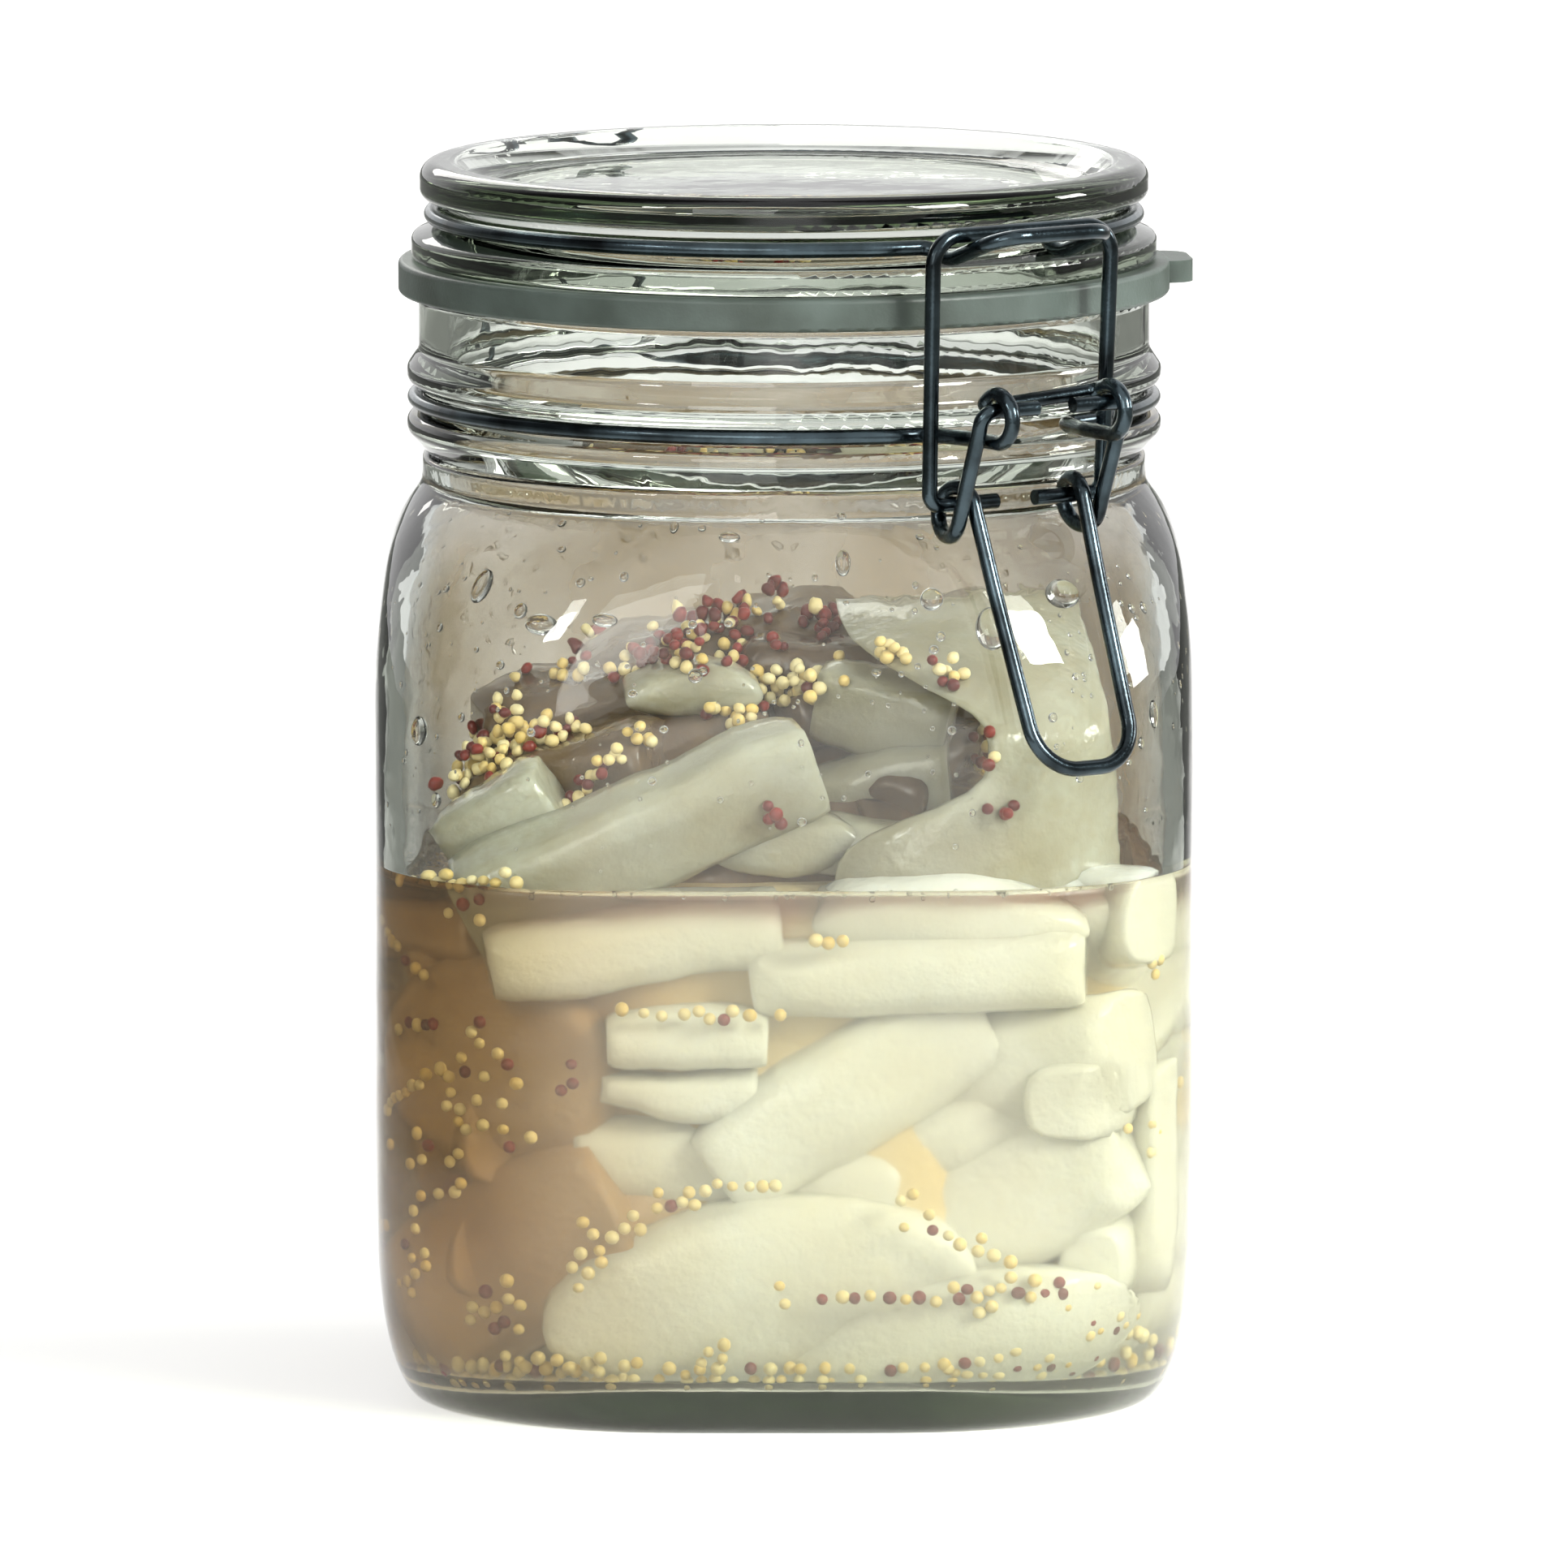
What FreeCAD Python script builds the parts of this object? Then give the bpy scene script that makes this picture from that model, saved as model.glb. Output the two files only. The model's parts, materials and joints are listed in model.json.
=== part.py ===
import FreeCAD, Part
import math
import os

# Clip-top preserving jar: square glass jar on a round neck, glass lid with a
# rubber ring, and a three-wire closure, holding brine and pickled slices.
# Frame: origin at the middle of the base, +Z up, front face towards -Y.
# All sizes are millimetres, all angles degrees.

os.makedirs("parts", exist_ok=True)
Vec = FreeCAD.Vector
UP = Vec(0, 0, 1)

# ---- driving dimensions: glass jar ------------------------------------------
BODY_HALF = 54.1          # half width across the flats, at the middle of a face
BODY_CORNER = 30.0        # upright corner radius
FACE_BULGE = 520.0        # radius of the slightly bulged faces
BODY_TOP = 86.0           # end of the straight part of the body
SHOULDER_RISE = 33.2      # from there to where the shoulder turns round
FOOT_INSET = 7.4          # how far the resting face lies inside the body
FOOT_ROUNDER = 2.6        # how much rounder the corners are at the foot
OUTLINE_POINTS = 48       # points on each level outline of the body
HEEL_HEIGHT = 15.0        # height over which the heel rounds into the body
BODY_WALL = 3.7
BASE_THICK = 6.4
PUNT_DEPTH = 1.6          # dish under the base
PUNT_RADIUS = 36.0
NECK_RADIUS = 48.15
WAIST_STEP = 0.65         # neck radius less the narrowest radius, under the rings
NECK_WALL = 4.15
WAIST_RISE = 4.2          # shoulder to waist
GROOVE_RISE = 7.5         # waist to the middle of the groove of the neck wire
RIM_RISE = 13.9           # groove to rim
RIM_ROUND = 1.1
RING_PITCH = 3.25         # from the groove to the crest of each glass ring
RING_STAND = 1.55         # crest of the glass rings beyond the neck

# ---- driving dimensions: lid and rubber ring --------------------------------
RUBBER_THICK = 4.3
RUBBER_STAND = 2.65       # rubber ring beyond the neck
RUBBER_LIP = 1.4          # rubber ring inside the mouth
TAB_REACH = 3.0           # how far the pull tab stands out
TAB_WIDTH = 13.0
TAB_THICK = 3.2
TAB_ANGLE = 96.0          # from the front face, seen from above, to the right
FLANGE_STAND = 0.95       # lid flange beyond the neck
FLANGE_THICK = 3.3
LID_GROOVE_UP = 6.0       # lid groove above the under side of the flange
BULGE_STEP = 0.15         # neck radius less that of the lid's rounded rim
LID_HEIGHT = 13.0
LID_RIM_WIDTH = 6.0
LID_DISH_DEPTH = 3.2
LID_WALL = 5.0
PLUG_PLAY = 2.4           # plug to the mouth
PLUG_DEPTH = 2.6
PLUG_TAPER = 1.4
PLUG_WIDTH = 5.0

# ---- driving dimensions: wires ----------------------------------------------
WIRE = 2.04               # wire diameter
TIGHT_BEND = 1.75         # smallest bend, on the middle line
WIDE_BEND = 4.0
LARGE = 1.0e3             # as large as the runs allow
WIRE_BUTT = 0.6           # gap between the butted ends of the neck wire
GROOVE_FIT = 0.08         # wire to the bottom of its groove
SIDE_PLAY = 0.30          # between wires of different pieces side by side
TOUCH_PLAY = 0.22         # between wires that bear on each other
PIVOT_PLAY = 0.06         # running clearance of the hinge eyes on their bar

# ---- driving dimensions: closure --------------------------------------------
CLASP_ANGLE = 35.5        # clasp direction, from the front face to the right
EYE_OUT = 12.25           # neck to the middle of the neck-wire eyelets
EYE_BEND = 3.15           # eyelet and coil radius, on the middle line
EYE_HALF = 9.05           # half spacing of the eyelets
PIN_PLAY = 0.11           # running clearance of a pin in its eyelet or coil
LEAD_HALF = 10.8          # half spacing where the neck wire leaves its groove
COIL_OUT = 3.65           # neck to the middle of the lever coils
COIL_DROP = 12.9          # lever coils below the eyelets
COIL_PITCH = 2.75         # sideways step of a lever coil
PIN_END = 2.9             # half gap between the two pin ends of the lever
HOOK_END = 3.1            # half gap between the two ends of the bail
BAIL_HALF = 14.3          # half width of the bail at the top
BAIL_FOOT_HALF = 13.8     # half width of the bail at the coils
BAIL_OUT = 5.25           # neck to the top bar of the bail
BOW_OUT = 13.05           # neck to the cross part of the bow
BOW_HALF = 9.0
BOW_DIP = 1.35            # seat of the bow below the lid groove
BOW_DIP_OUT = 1.45
BOW_SLOPE = 18.5
HANDLE_KNEE_STAND = 2.6   # knee of the handle off the shoulder, on the middle line
HANDLE_KNEE_DOWN = 10.0
HANDLE_TIP_STAND = 6.0    # tip of the handle off the body
HANDLE_LENGTH = 46.4      # tip of the handle below the lever pin
HANDLE_HALF = 7.7         # half width of the handle near its tip
HANDLE_TURN = 6.2         # radius of the rounded tip

# ---- driving dimensions: hinge at the back ----------------------------------
HINGE_OUT = 11.45         # neck to the hinge bar
HINGE_UP = 8.4            # hinge bar above the neck groove
HINGE_HALF = 16.5         # half width of the neck wire's hinge frame
HINGE_EYE_HALF = 10.6     # half spacing of the lid-wire eyes, outer turn
HINGE_EYE_PITCH = 2.2

# ---- driving dimensions: contents -------------------------------------------
BRINE_LEVEL = 70.7
FILL_GAP = 0.25           # contents to the glass
HEAP_HEIGHT = 31.0
HEAP_HALF = 43.5

# ---- places that follow from the sizes --------------------------------------
WIRE_R = WIRE / 2.0
SHOULDER_TOP = BODY_TOP + SHOULDER_RISE
WAIST_Z = SHOULDER_TOP + WAIST_RISE
GROOVE_Z = WAIST_Z + GROOVE_RISE
RIM_TOP = GROOVE_Z + RIM_RISE
NECK_WAIST = NECK_RADIUS - WAIST_STEP
MOUTH_RADIUS = NECK_RADIUS - NECK_WALL
RING_CREST = NECK_RADIUS + RING_STAND
RUBBER_OUTER = NECK_RADIUS + RUBBER_STAND
RUBBER_INNER = MOUTH_RADIUS - RUBBER_LIP
FLANGE_RADIUS = NECK_RADIUS + FLANGE_STAND
BULGE_RADIUS = NECK_RADIUS - BULGE_STEP
LID_RIM_INNER = BULGE_RADIUS - LID_RIM_WIDTH
PLUG_RADIUS = MOUTH_RADIUS - PLUG_PLAY
EYE_REACH = NECK_RADIUS + EYE_OUT
COIL_REACH = NECK_RADIUS + COIL_OUT
BAIL_REACH = NECK_RADIUS + BAIL_OUT
BOW_REACH = NECK_RADIUS + BOW_OUT
BOW_DIP_REACH = NECK_RADIUS + BOW_DIP_OUT
HINGE_REACH = NECK_RADIUS + HINGE_OUT
PIVOT_LIFT = EYE_BEND - WIRE - PIN_PLAY
SEAT_Z = RIM_TOP + RUBBER_THICK
LID_GROOVE_Z = SEAT_Z + LID_GROOVE_UP
NECK_RING_R = RING_CREST - 1.1
LID_RING_R = BULGE_RADIUS - 1.6
EYE_Z = GROOVE_Z + EYE_BEND
PIVOT_Z = EYE_Z + PIVOT_LIFT
COIL_Z = EYE_Z - COIL_DROP
BAIL_FOOT_Z = COIL_Z + PIVOT_LIFT
LINK_HALF = EYE_HALF + WIRE + SIDE_PLAY
HINGE_Z = GROOVE_Z + HINGE_UP
HINGE_EYE_BEND = WIRE + PIVOT_PLAY
BOW_DIP_Z = LID_GROOVE_Z - BOW_DIP
BOW_END_Z = BOW_DIP_Z + (BOW_REACH - BOW_DIP_REACH) * math.tan(math.radians(BOW_SLOPE))
BAIL_BOW_Z = BOW_DIP_Z + (BAIL_REACH - BOW_DIP_REACH) * math.tan(math.radians(BOW_SLOPE))
BAIL_TOP_Z = BAIL_BOW_Z + (WIRE + TOUCH_PLAY) / math.cos(math.radians(BOW_SLOPE))


def at_angle(reach, side, z, angle):
    """Point `reach` out from the jar axis and `side` across, at a given angle."""
    turn = math.radians(angle)
    x = reach * math.sin(turn) + side * math.cos(turn)
    y = -reach * math.cos(turn) + side * math.sin(turn)
    return Vec(x, y, z)


def clasp(reach, side, z):
    """Point in the closure's frame: out, across and up."""
    return at_angle(reach, side, z, CLASP_ANGLE)


def turn_at(previous, corner, following):
    """Unit runs and half the turn at a corner of a path."""
    inward = (previous - corner).normalize()
    outward = (following - corner).normalize()
    cosine = max(-1.0, min(1.0, inward.dot(outward)))
    return inward, outward, (math.pi - math.acos(cosine)) / 2.0


def rounded_edges(points, bends, closed=False):
    """Straight runs joined by tangent arcs through a list of corners."""
    count = len(points)
    starts = list(points)
    ends = list(points)
    arcs = [None] * count
    span = range(count) if closed else range(1, count - 1)
    for i in span:
        corner = points[i]
        before = points[i - 1]
        after = points[(i + 1) % count]
        inward, outward, half = turn_at(before, corner, after)
        shortest = min((before - corner).Length, (after - corner).Length)
        if half < 1e-4 or bends[i] <= 0:
            continue
        setback = min(bends[i] * math.tan(half), 0.5 * shortest)
        radius = setback / math.tan(half)
        starts[i] = corner + inward * setback
        ends[i] = corner + outward * setback
        bisector = (inward + outward).normalize()
        middle = corner + bisector * (radius / math.cos(half) - radius)
        arcs[i] = Part.Arc(starts[i], middle, ends[i]).toShape()
    edges = []
    for i in range(count):
        if arcs[i] is not None:
            edges.append(arcs[i])
        j = (i + 1) % count
        if j == 0 and not closed:
            break
        if (starts[j] - ends[i]).Length > 1e-5:
            edges.append(Part.LineSegment(ends[i], starts[j]).toShape())
    return edges


def rod(points, bends, diameter=WIRE):
    """Bent wire along the rounded path."""
    if not isinstance(bends, list):
        bends = [bends] * len(points)
    path = Part.Wire(rounded_edges(points, bends))
    start = path.OrderedEdges[0]
    direction = start.tangentAt(start.FirstParameter)
    circle = Part.makeCircle(diameter / 2.0, points[0], direction)
    solid = path.makePipeShell([Part.Wire(circle)], True, False)
    return solid


def arc_corners(place, centre, radius, first, last, side_first, side_last, step=40.0):
    """Corners of a path that rounds to an arc, or to a coil when it steps aside.

    Angles are measured in the out-and-up plane; `place` maps out, across, up.
    """
    count = max(1, int(round(abs(last - first) / step)))
    each = (last - first) / count
    outer = radius / math.cos(math.radians(abs(each) / 2.0))
    corners = []
    for i in range(count):
        share = (i + 0.5) / count
        angle = math.radians(first + each * (i + 0.5))
        side = side_first + (side_last - side_first) * share
        out = centre[0] + outer * math.cos(angle)
        up = centre[1] + outer * math.sin(angle)
        corners.append(place(out, side, up))
    return corners


def ring_corners(radius, z, first, last, base_angle, step=15.0):
    """Corners of a path that rounds to a level ring round the jar axis."""
    count = max(2, int(round(abs(last - first) / step)))
    each = (last - first) / count
    outer = radius / math.cos(math.radians(abs(each) / 2.0))
    corners = []
    for i in range(count):
        angle = first + each * (i + 0.5)
        corners.append(at_angle(outer, 0.0, z, base_angle + angle))
    return corners


def tangent_point(point, centre, radius, hand):
    """Angle on a circle where a line from an outside point touches it."""
    dx = centre[0] - point[0]
    dz = centre[1] - point[1]
    reach = math.hypot(dx, dz)
    lean = math.asin(radius / reach)
    heading = math.atan2(dz, dx) + hand * lean
    return math.degrees(heading) + 90.0 * hand


# ---- glass ------------------------------------------------------------------
def soft_square_reach(angle, half, corner, bulge):
    """Distance from the axis to a square outline with bulged faces, at an angle."""
    reach = bulge - half
    a = 2.0
    b = 2.0 * reach
    c = reach * reach - (bulge - corner) ** 2
    mid = (-b + math.sqrt(max(0.0, b * b - 4.0 * a * c))) / (2.0 * a)
    lean = math.atan2(mid, mid + reach)
    touch = math.atan2(bulge * math.sin(lean), bulge * math.cos(lean) - reach)
    folded = abs((angle + math.pi / 4.0) % (math.pi / 2.0) - math.pi / 4.0)
    cosine = math.cos(folded)
    sine = math.sin(folded)
    if folded <= touch:
        return math.sqrt(bulge ** 2 - (reach * sine) ** 2) - reach * cosine
    along = mid * (cosine + sine)
    return along + math.sqrt(along ** 2 - 2.0 * mid ** 2 + corner ** 2)


def soft_square(z, half, corner):
    """Level closed outline: square with bulged faces, or round where it has no faces."""
    points = []
    for i in range(OUTLINE_POINTS):
        angle = 2.0 * math.pi * i / OUTLINE_POINTS
        reach = soft_square_reach(angle, half, min(corner, half), FACE_BULGE)
        points.append(Vec(reach * math.cos(angle), reach * math.sin(angle), z))
    curve = Part.BSplineCurve()
    curve.interpolate(Points=points, PeriodicFlag=True)
    return Part.Wire(curve.toShape())


def body_rows(foot_z):
    """Height, half width and corner radius of the outer body, from foot to waist."""
    foot = BODY_HALF - FOOT_INSET
    rows = []
    for share_up, share_in in ((-0.05, -0.36), (0.035, 0.24), (0.15, 0.45), (0.34, 0.63),
                               (0.64, 0.80), (1.07, 0.92), (1.8, 0.99)):
        z = foot_z + HEEL_HEIGHT * share_up * (1.0 - foot_z / BODY_TOP)
        rows.append((z, foot + FOOT_INSET * share_in, BODY_CORNER + FOOT_ROUNDER * (1.0 - share_in)))
    heel_top = rows[-1][0]
    for share in (0.5, 1.0):
        rows.append((heel_top + (BODY_TOP - heel_top) * share, BODY_HALF, BODY_CORNER))
    drop = BODY_HALF - NECK_RADIUS
    swell = BODY_HALF - BODY_CORNER
    rise = SHOULDER_TOP - BODY_TOP
    for up, fall, square in ((0.27, 0.02, 0.93), (0.44, 0.08, 0.84), (0.60, 0.18, 0.70),
                             (0.74, 0.32, 0.52), (0.86, 0.55, 0.30), (0.95, 0.82, 0.11)):
        half = BODY_HALF - drop * fall
        rows.append((BODY_TOP + rise * up, half, half - swell * square))
    return rows


def row_at(rows, z):
    """Half width and corner radius between two rows."""
    for low, high in zip(rows, rows[1:]):
        if low[0] <= z <= high[0]:
            share = (z - low[0]) / (high[0] - low[0])
            return low[1] + (high[1] - low[1]) * share, low[2] + (high[2] - low[2]) * share
    return rows[-1][1], rows[-1][2]


def body_reach(z, angle):
    """Distance from the axis to the outside of the body, at a height and an angle."""
    half, corner = row_at(body_rows(0.0), z)
    return soft_square_reach(math.radians(angle), half, corner, FACE_BULGE)


def loft(rows, offset, foot_z):
    """Solid through level outlines, each `offset` inside the outer one, cut flat below."""
    sections = [soft_square(z, half - offset, max(3.0, corner - offset))
                for z, half, corner in rows]
    solid = Part.makeLoft(sections, True, False, False, 3)
    size = 4.0 * BODY_HALF
    above = Part.makeBox(size, size, size, Vec(-size / 2.0, -size / 2.0, foot_z))
    return solid.common(above)


def round_rows(rows, radii):
    """Rows carried on by round ones."""
    return rows + [(z, radius, radius) for z, radius in radii]


def turned(profile, rounds):
    """Solid turned round the jar axis from a closed out-and-up outline."""
    corners = [Vec(out, 0, up) for out, up in profile]
    face = Part.Face(Part.Wire(rounded_edges(corners, rounds, True)))
    return face.revolve(Vec(0, 0, 0), UP, 360)


def make_jar():
    """Square body, round ringed neck, open mouth and thick dished base."""
    ring = 0.9
    groove = NECK_RING_R - WIRE_R - GROOVE_FIT
    inside = MOUTH_RADIUS - 2.0
    low = GROOVE_Z - RING_PITCH
    high = GROOVE_Z + RING_PITCH
    neck = turned(
        [(inside, WAIST_Z), (NECK_WAIST - 0.8, WAIST_Z), (RING_CREST, low - ring),
         (RING_CREST, low + ring), (groove, GROOVE_Z - 1.2), (groove, GROOVE_Z + 1.2),
         (RING_CREST, high - ring), (RING_CREST, high + ring),
         (NECK_RADIUS, high + 3.2), (NECK_RADIUS, RIM_TOP), (inside, RIM_TOP)],
        [0, 1.5, 1.6, 1.6, 1.0, 1.0, 1.6, 1.6, 2.2, RIM_ROUND, 0])
    outer = loft(round_rows(body_rows(0.0), [
        (SHOULDER_TOP, NECK_RADIUS), (SHOULDER_TOP + 2.0, NECK_WAIST + 0.15),
        (WAIST_Z, NECK_WAIST), (low - ring, NECK_WAIST)]), 0.0, 0.0)
    wall = BODY_WALL
    narrow = MOUTH_RADIUS + wall
    inner = loft(round_rows(body_rows(BASE_THICK), [
        (SHOULDER_TOP + 0.6, narrow - 0.2), (SHOULDER_TOP + 2.2, narrow - 2.0)]), wall, BASE_THICK)
    bore = turned(
        [(0, SHOULDER_TOP - 4.0), (MOUTH_RADIUS, SHOULDER_TOP - 4.0),
         (MOUTH_RADIUS, RIM_TOP - 0.9), (MOUTH_RADIUS + 2.5, RIM_TOP + 1.6), (0, RIM_TOP + 1.6)],
        [0, 0, 1.2, 0, 0])
    dish = (PUNT_RADIUS ** 2 + PUNT_DEPTH ** 2) / (2.0 * PUNT_DEPTH)
    punt = Part.makeSphere(dish, Vec(0, 0, PUNT_DEPTH - dish), Vec(1, 0, 0))
    return outer.fuse(neck).cut(inner).cut(bore).cut(punt)


def make_lid():
    """Pressed glass lid: flange, wire groove, rounded rim, dish and plug."""
    top = SEAT_Z + LID_HEIGHT
    groove = LID_RING_R - WIRE_R - GROOVE_FIT
    dish = top - LID_DISH_DEPTH
    under = dish - LID_WALL
    profile = [
        (0, under), (PLUG_RADIUS - PLUG_WIDTH - 1.5, under),
        (PLUG_RADIUS - PLUG_WIDTH, SEAT_Z - PLUG_DEPTH),
        (PLUG_RADIUS - PLUG_TAPER, SEAT_Z - PLUG_DEPTH), (PLUG_RADIUS, SEAT_Z),
        (FLANGE_RADIUS, SEAT_Z), (FLANGE_RADIUS, SEAT_Z + FLANGE_THICK),
        (groove, LID_GROOVE_Z - 1.15), (groove, LID_GROOVE_Z + 1.15),
        (BULGE_RADIUS, LID_GROOVE_Z + 2.6), (BULGE_RADIUS, top),
        (LID_RIM_INNER + 1.5, top), (LID_RIM_INNER - 2.0, dish), (0, dish)]
    rounds = [0, 1.5, 1.0, 1.0, 0.4, 1.0, 1.1, 0.8, 0.8, 1.4, 3.0, 1.4, 2.2, 0]
    return turned(profile, rounds)


def make_rubber():
    """Flat rubber ring with a pull tab at one side."""
    ring = turned(
        [(RUBBER_INNER, RIM_TOP), (RUBBER_OUTER, RIM_TOP),
         (RUBBER_OUTER, SEAT_Z), (RUBBER_INNER, SEAT_Z)],
        [0.5, 0.6, 0.6, 0.5])
    end = RUBBER_OUTER + TAB_REACH
    low = SEAT_Z - TAB_THICK
    half = TAB_WIDTH / 2.0
    corners = [(RUBBER_OUTER - 3.5, -half), (end, -half), (end, half), (RUBBER_OUTER - 3.5, half)]
    outline = [at_angle(out, side, low, TAB_ANGLE) for out, side in corners]
    face = Part.Face(Part.Wire(rounded_edges(outline, [0, 3.5, 3.5, 0], True)))
    tab = face.extrude(Vec(0, 0, TAB_THICK - 0.3))
    return ring.fuse(tab).removeSplitter()


# ---- wires ------------------------------------------------------------------
def side_angle(radius, side):
    """Angle round the jar axis at which a ring lies `side` across."""
    return math.degrees(math.asin(side / radius))


def make_neck_wire():
    """Wire in the neck groove: hinge frame at the back, two eyelets in front."""
    def half(hand, last):
        back = side_angle(NECK_RING_R, HINGE_HALF)
        front = side_angle(NECK_RING_R, LEAD_HALF)
        leave = math.cos(math.radians(back)) * NECK_RING_R
        lead = math.cos(math.radians(front)) * NECK_RING_R
        corners = [clasp(-HINGE_REACH, hand * WIRE_BUTT / 2.0, HINGE_Z),
                   clasp(-HINGE_REACH, hand * HINGE_HALF, HINGE_Z),
                   clasp(-HINGE_REACH + 3.2, hand * HINGE_HALF, GROOVE_Z),
                   clasp(-leave, hand * HINGE_HALF, GROOVE_Z)]
        bends = [0.0, WIDE_BEND, WIDE_BEND, WIDE_BEND]
        ring = ring_corners(NECK_RING_R, GROOVE_Z, hand * (180.0 - back),
                            hand * front, CLASP_ANGLE)
        corners += ring
        bends += [LARGE] * len(ring)
        corners += [clasp(lead, hand * LEAD_HALF, GROOVE_Z),
                    clasp(EYE_REACH - 5.4, hand * EYE_HALF, GROOVE_Z)]
        bends += [3.2, 6.0]
        turns = arc_corners(clasp, (EYE_REACH, EYE_Z), EYE_BEND, -90.0, last,
                            hand * EYE_HALF, hand * EYE_HALF, 45.0)
        corners += turns
        bends += [LARGE] * len(turns)
        angle = math.radians(last)
        run = 1.5 * TIGHT_BEND
        corners.append(clasp(EYE_REACH + EYE_BEND * math.cos(angle) - run * math.sin(angle),
                             hand * EYE_HALF,
                             EYE_Z + EYE_BEND * math.sin(angle) + run * math.cos(angle)))
        bends.append(TIGHT_BEND)
        return corners, bends

    left, left_bends = half(-1.0, 126.0)
    right, right_bends = half(1.0, 108.0)
    return rod(left + right[::-1], left_bends + right_bends[::-1])


def make_lid_wire():
    """Wire in the lid groove: bow in front, two arms with eyes at the back."""
    def half(hand):
        eye = (-HINGE_REACH, HINGE_Z)
        inner = HINGE_EYE_HALF - HINGE_EYE_PITCH
        back = side_angle(LID_RING_R, HINGE_EYE_HALF)
        front = side_angle(LID_RING_R, BOW_HALF)
        corners = [clasp(eye[0] - HINGE_EYE_BEND * math.cos(math.radians(60.0)),
                         hand * inner, HINGE_Z + HINGE_EYE_BEND * math.sin(math.radians(60.0)))]
        coil = arc_corners(clasp, eye, HINGE_EYE_BEND, 120.0, -180.0,
                           hand * inner, hand * HINGE_EYE_HALF, 43.0)
        corners += coil
        arm_out = eye[0] - HINGE_EYE_BEND
        knee_z = LID_GROOVE_Z - 3.0
        corners.append(clasp(arm_out, hand * HINGE_EYE_HALF, knee_z))
        corners.append(clasp(arm_out + 5.4, hand * HINGE_EYE_HALF, LID_GROOVE_Z))
        leave = math.cos(math.radians(back)) * LID_RING_R
        corners.append(clasp(-leave, hand * HINGE_EYE_HALF, LID_GROOVE_Z))
        bends = [0.0] + [LARGE] * len(coil) + [WIDE_BEND, WIDE_BEND, WIDE_BEND]
        ring = ring_corners(LID_RING_R, LID_GROOVE_Z, hand * (180.0 - back),
                            hand * front, CLASP_ANGLE)
        corners += ring
        bends += [LARGE] * len(ring)
        root = math.cos(math.radians(front)) * LID_RING_R
        corners.append(clasp(root, hand * BOW_HALF, LID_GROOVE_Z))
        corners.append(clasp(BOW_DIP_REACH, hand * BOW_HALF, BOW_DIP_Z))
        corners.append(clasp(BOW_REACH, hand * BOW_HALF, BOW_END_Z))
        bends += [2.4, 5.0, WIDE_BEND]
        return corners, bends

    left, left_bends = half(-1.0)
    right, right_bends = half(1.0)
    return rod(left + right[::-1], left_bends + right_bends[::-1])


def make_lever():
    """Lever of one wire: two pins, links, coils and a long looped handle."""
    def half(hand):
        pivot = (EYE_REACH, PIVOT_Z)
        coil = (COIL_REACH, COIL_Z)
        knee_z = COIL_Z - HANDLE_KNEE_DOWN
        knee = (body_reach(knee_z, CLASP_ANGLE) + HANDLE_KNEE_STAND, knee_z)
        enter = tangent_point(pivot, coil, EYE_BEND, 1.0)
        leave = tangent_point(knee, coil, EYE_BEND, -1.0)
        while leave > enter:
            leave -= 360.0
        inner = LINK_HALF - COIL_PITCH
        turns = arc_corners(clasp, coil, EYE_BEND, enter, leave,
                            hand * LINK_HALF, hand * inner, 40.0)
        corners = [clasp(EYE_REACH, hand * PIN_END, PIVOT_Z)]
        corners.append(clasp(EYE_REACH, hand * LINK_HALF, PIVOT_Z))
        corners += turns
        corners.append(clasp(knee[0], hand * (inner - 0.2), knee[1]))
        tip_z = PIVOT_Z - HANDLE_LENGTH
        tip_reach = body_reach(tip_z, CLASP_ANGLE) + HANDLE_TIP_STAND
        corners.append(clasp(tip_reach, hand * HANDLE_HALF, tip_z))
        bends = [0.0, TIGHT_BEND] + [LARGE] * len(turns) + [20.0, HANDLE_TURN]
        return corners, bends

    left, left_bends = half(-1.0)
    right, right_bends = half(1.0)
    return rod(left + right[::-1], left_bends + right_bends[::-1])


def make_bail():
    """Bail that pulls the lid down: top bar, two legs and two turned-in ends."""
    foot = (COIL_REACH, BAIL_FOOT_Z)
    right = [clasp(BAIL_REACH, BAIL_HALF, BAIL_TOP_Z), clasp(foot[0], BAIL_FOOT_HALF, foot[1]),
             clasp(foot[0], HOOK_END, foot[1])]
    left = [clasp(foot[0], -HOOK_END, foot[1]), clasp(foot[0], -BAIL_FOOT_HALF, foot[1]),
            clasp(BAIL_REACH, -BAIL_HALF, BAIL_TOP_Z)]
    bends = [0.0, TIGHT_BEND, WIDE_BEND, WIDE_BEND, TIGHT_BEND, 0.0]
    return rod(left + right, bends)


# ---- contents ---------------------------------------------------------------
def make_brine():
    """Brine from the glass floor up to its level surface."""
    rows = body_rows(BASE_THICK + FILL_GAP)
    half, corner = row_at(rows, BRINE_LEVEL)
    filled = [row for row in rows if row[0] < BRINE_LEVEL - 1.0]
    full = filled + [(BRINE_LEVEL, half, corner)]
    return loft(full, BODY_WALL + FILL_GAP, BASE_THICK + FILL_GAP)


def uneven_outline(z, half, shares, shift):
    """Closed smooth outline with its own reach in each of the directions."""
    count = len(shares)
    points = []
    for i, share in enumerate(shares):
        angle = 2.0 * math.pi * i / count
        points.append(Vec(shift[0] + half * share * math.cos(angle),
                          shift[1] + half * share * math.sin(angle), z))
    curve = Part.BSplineCurve()
    curve.interpolate(Points=points, PeriodicFlag=True)
    return Part.Wire(curve.toShape())


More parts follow.
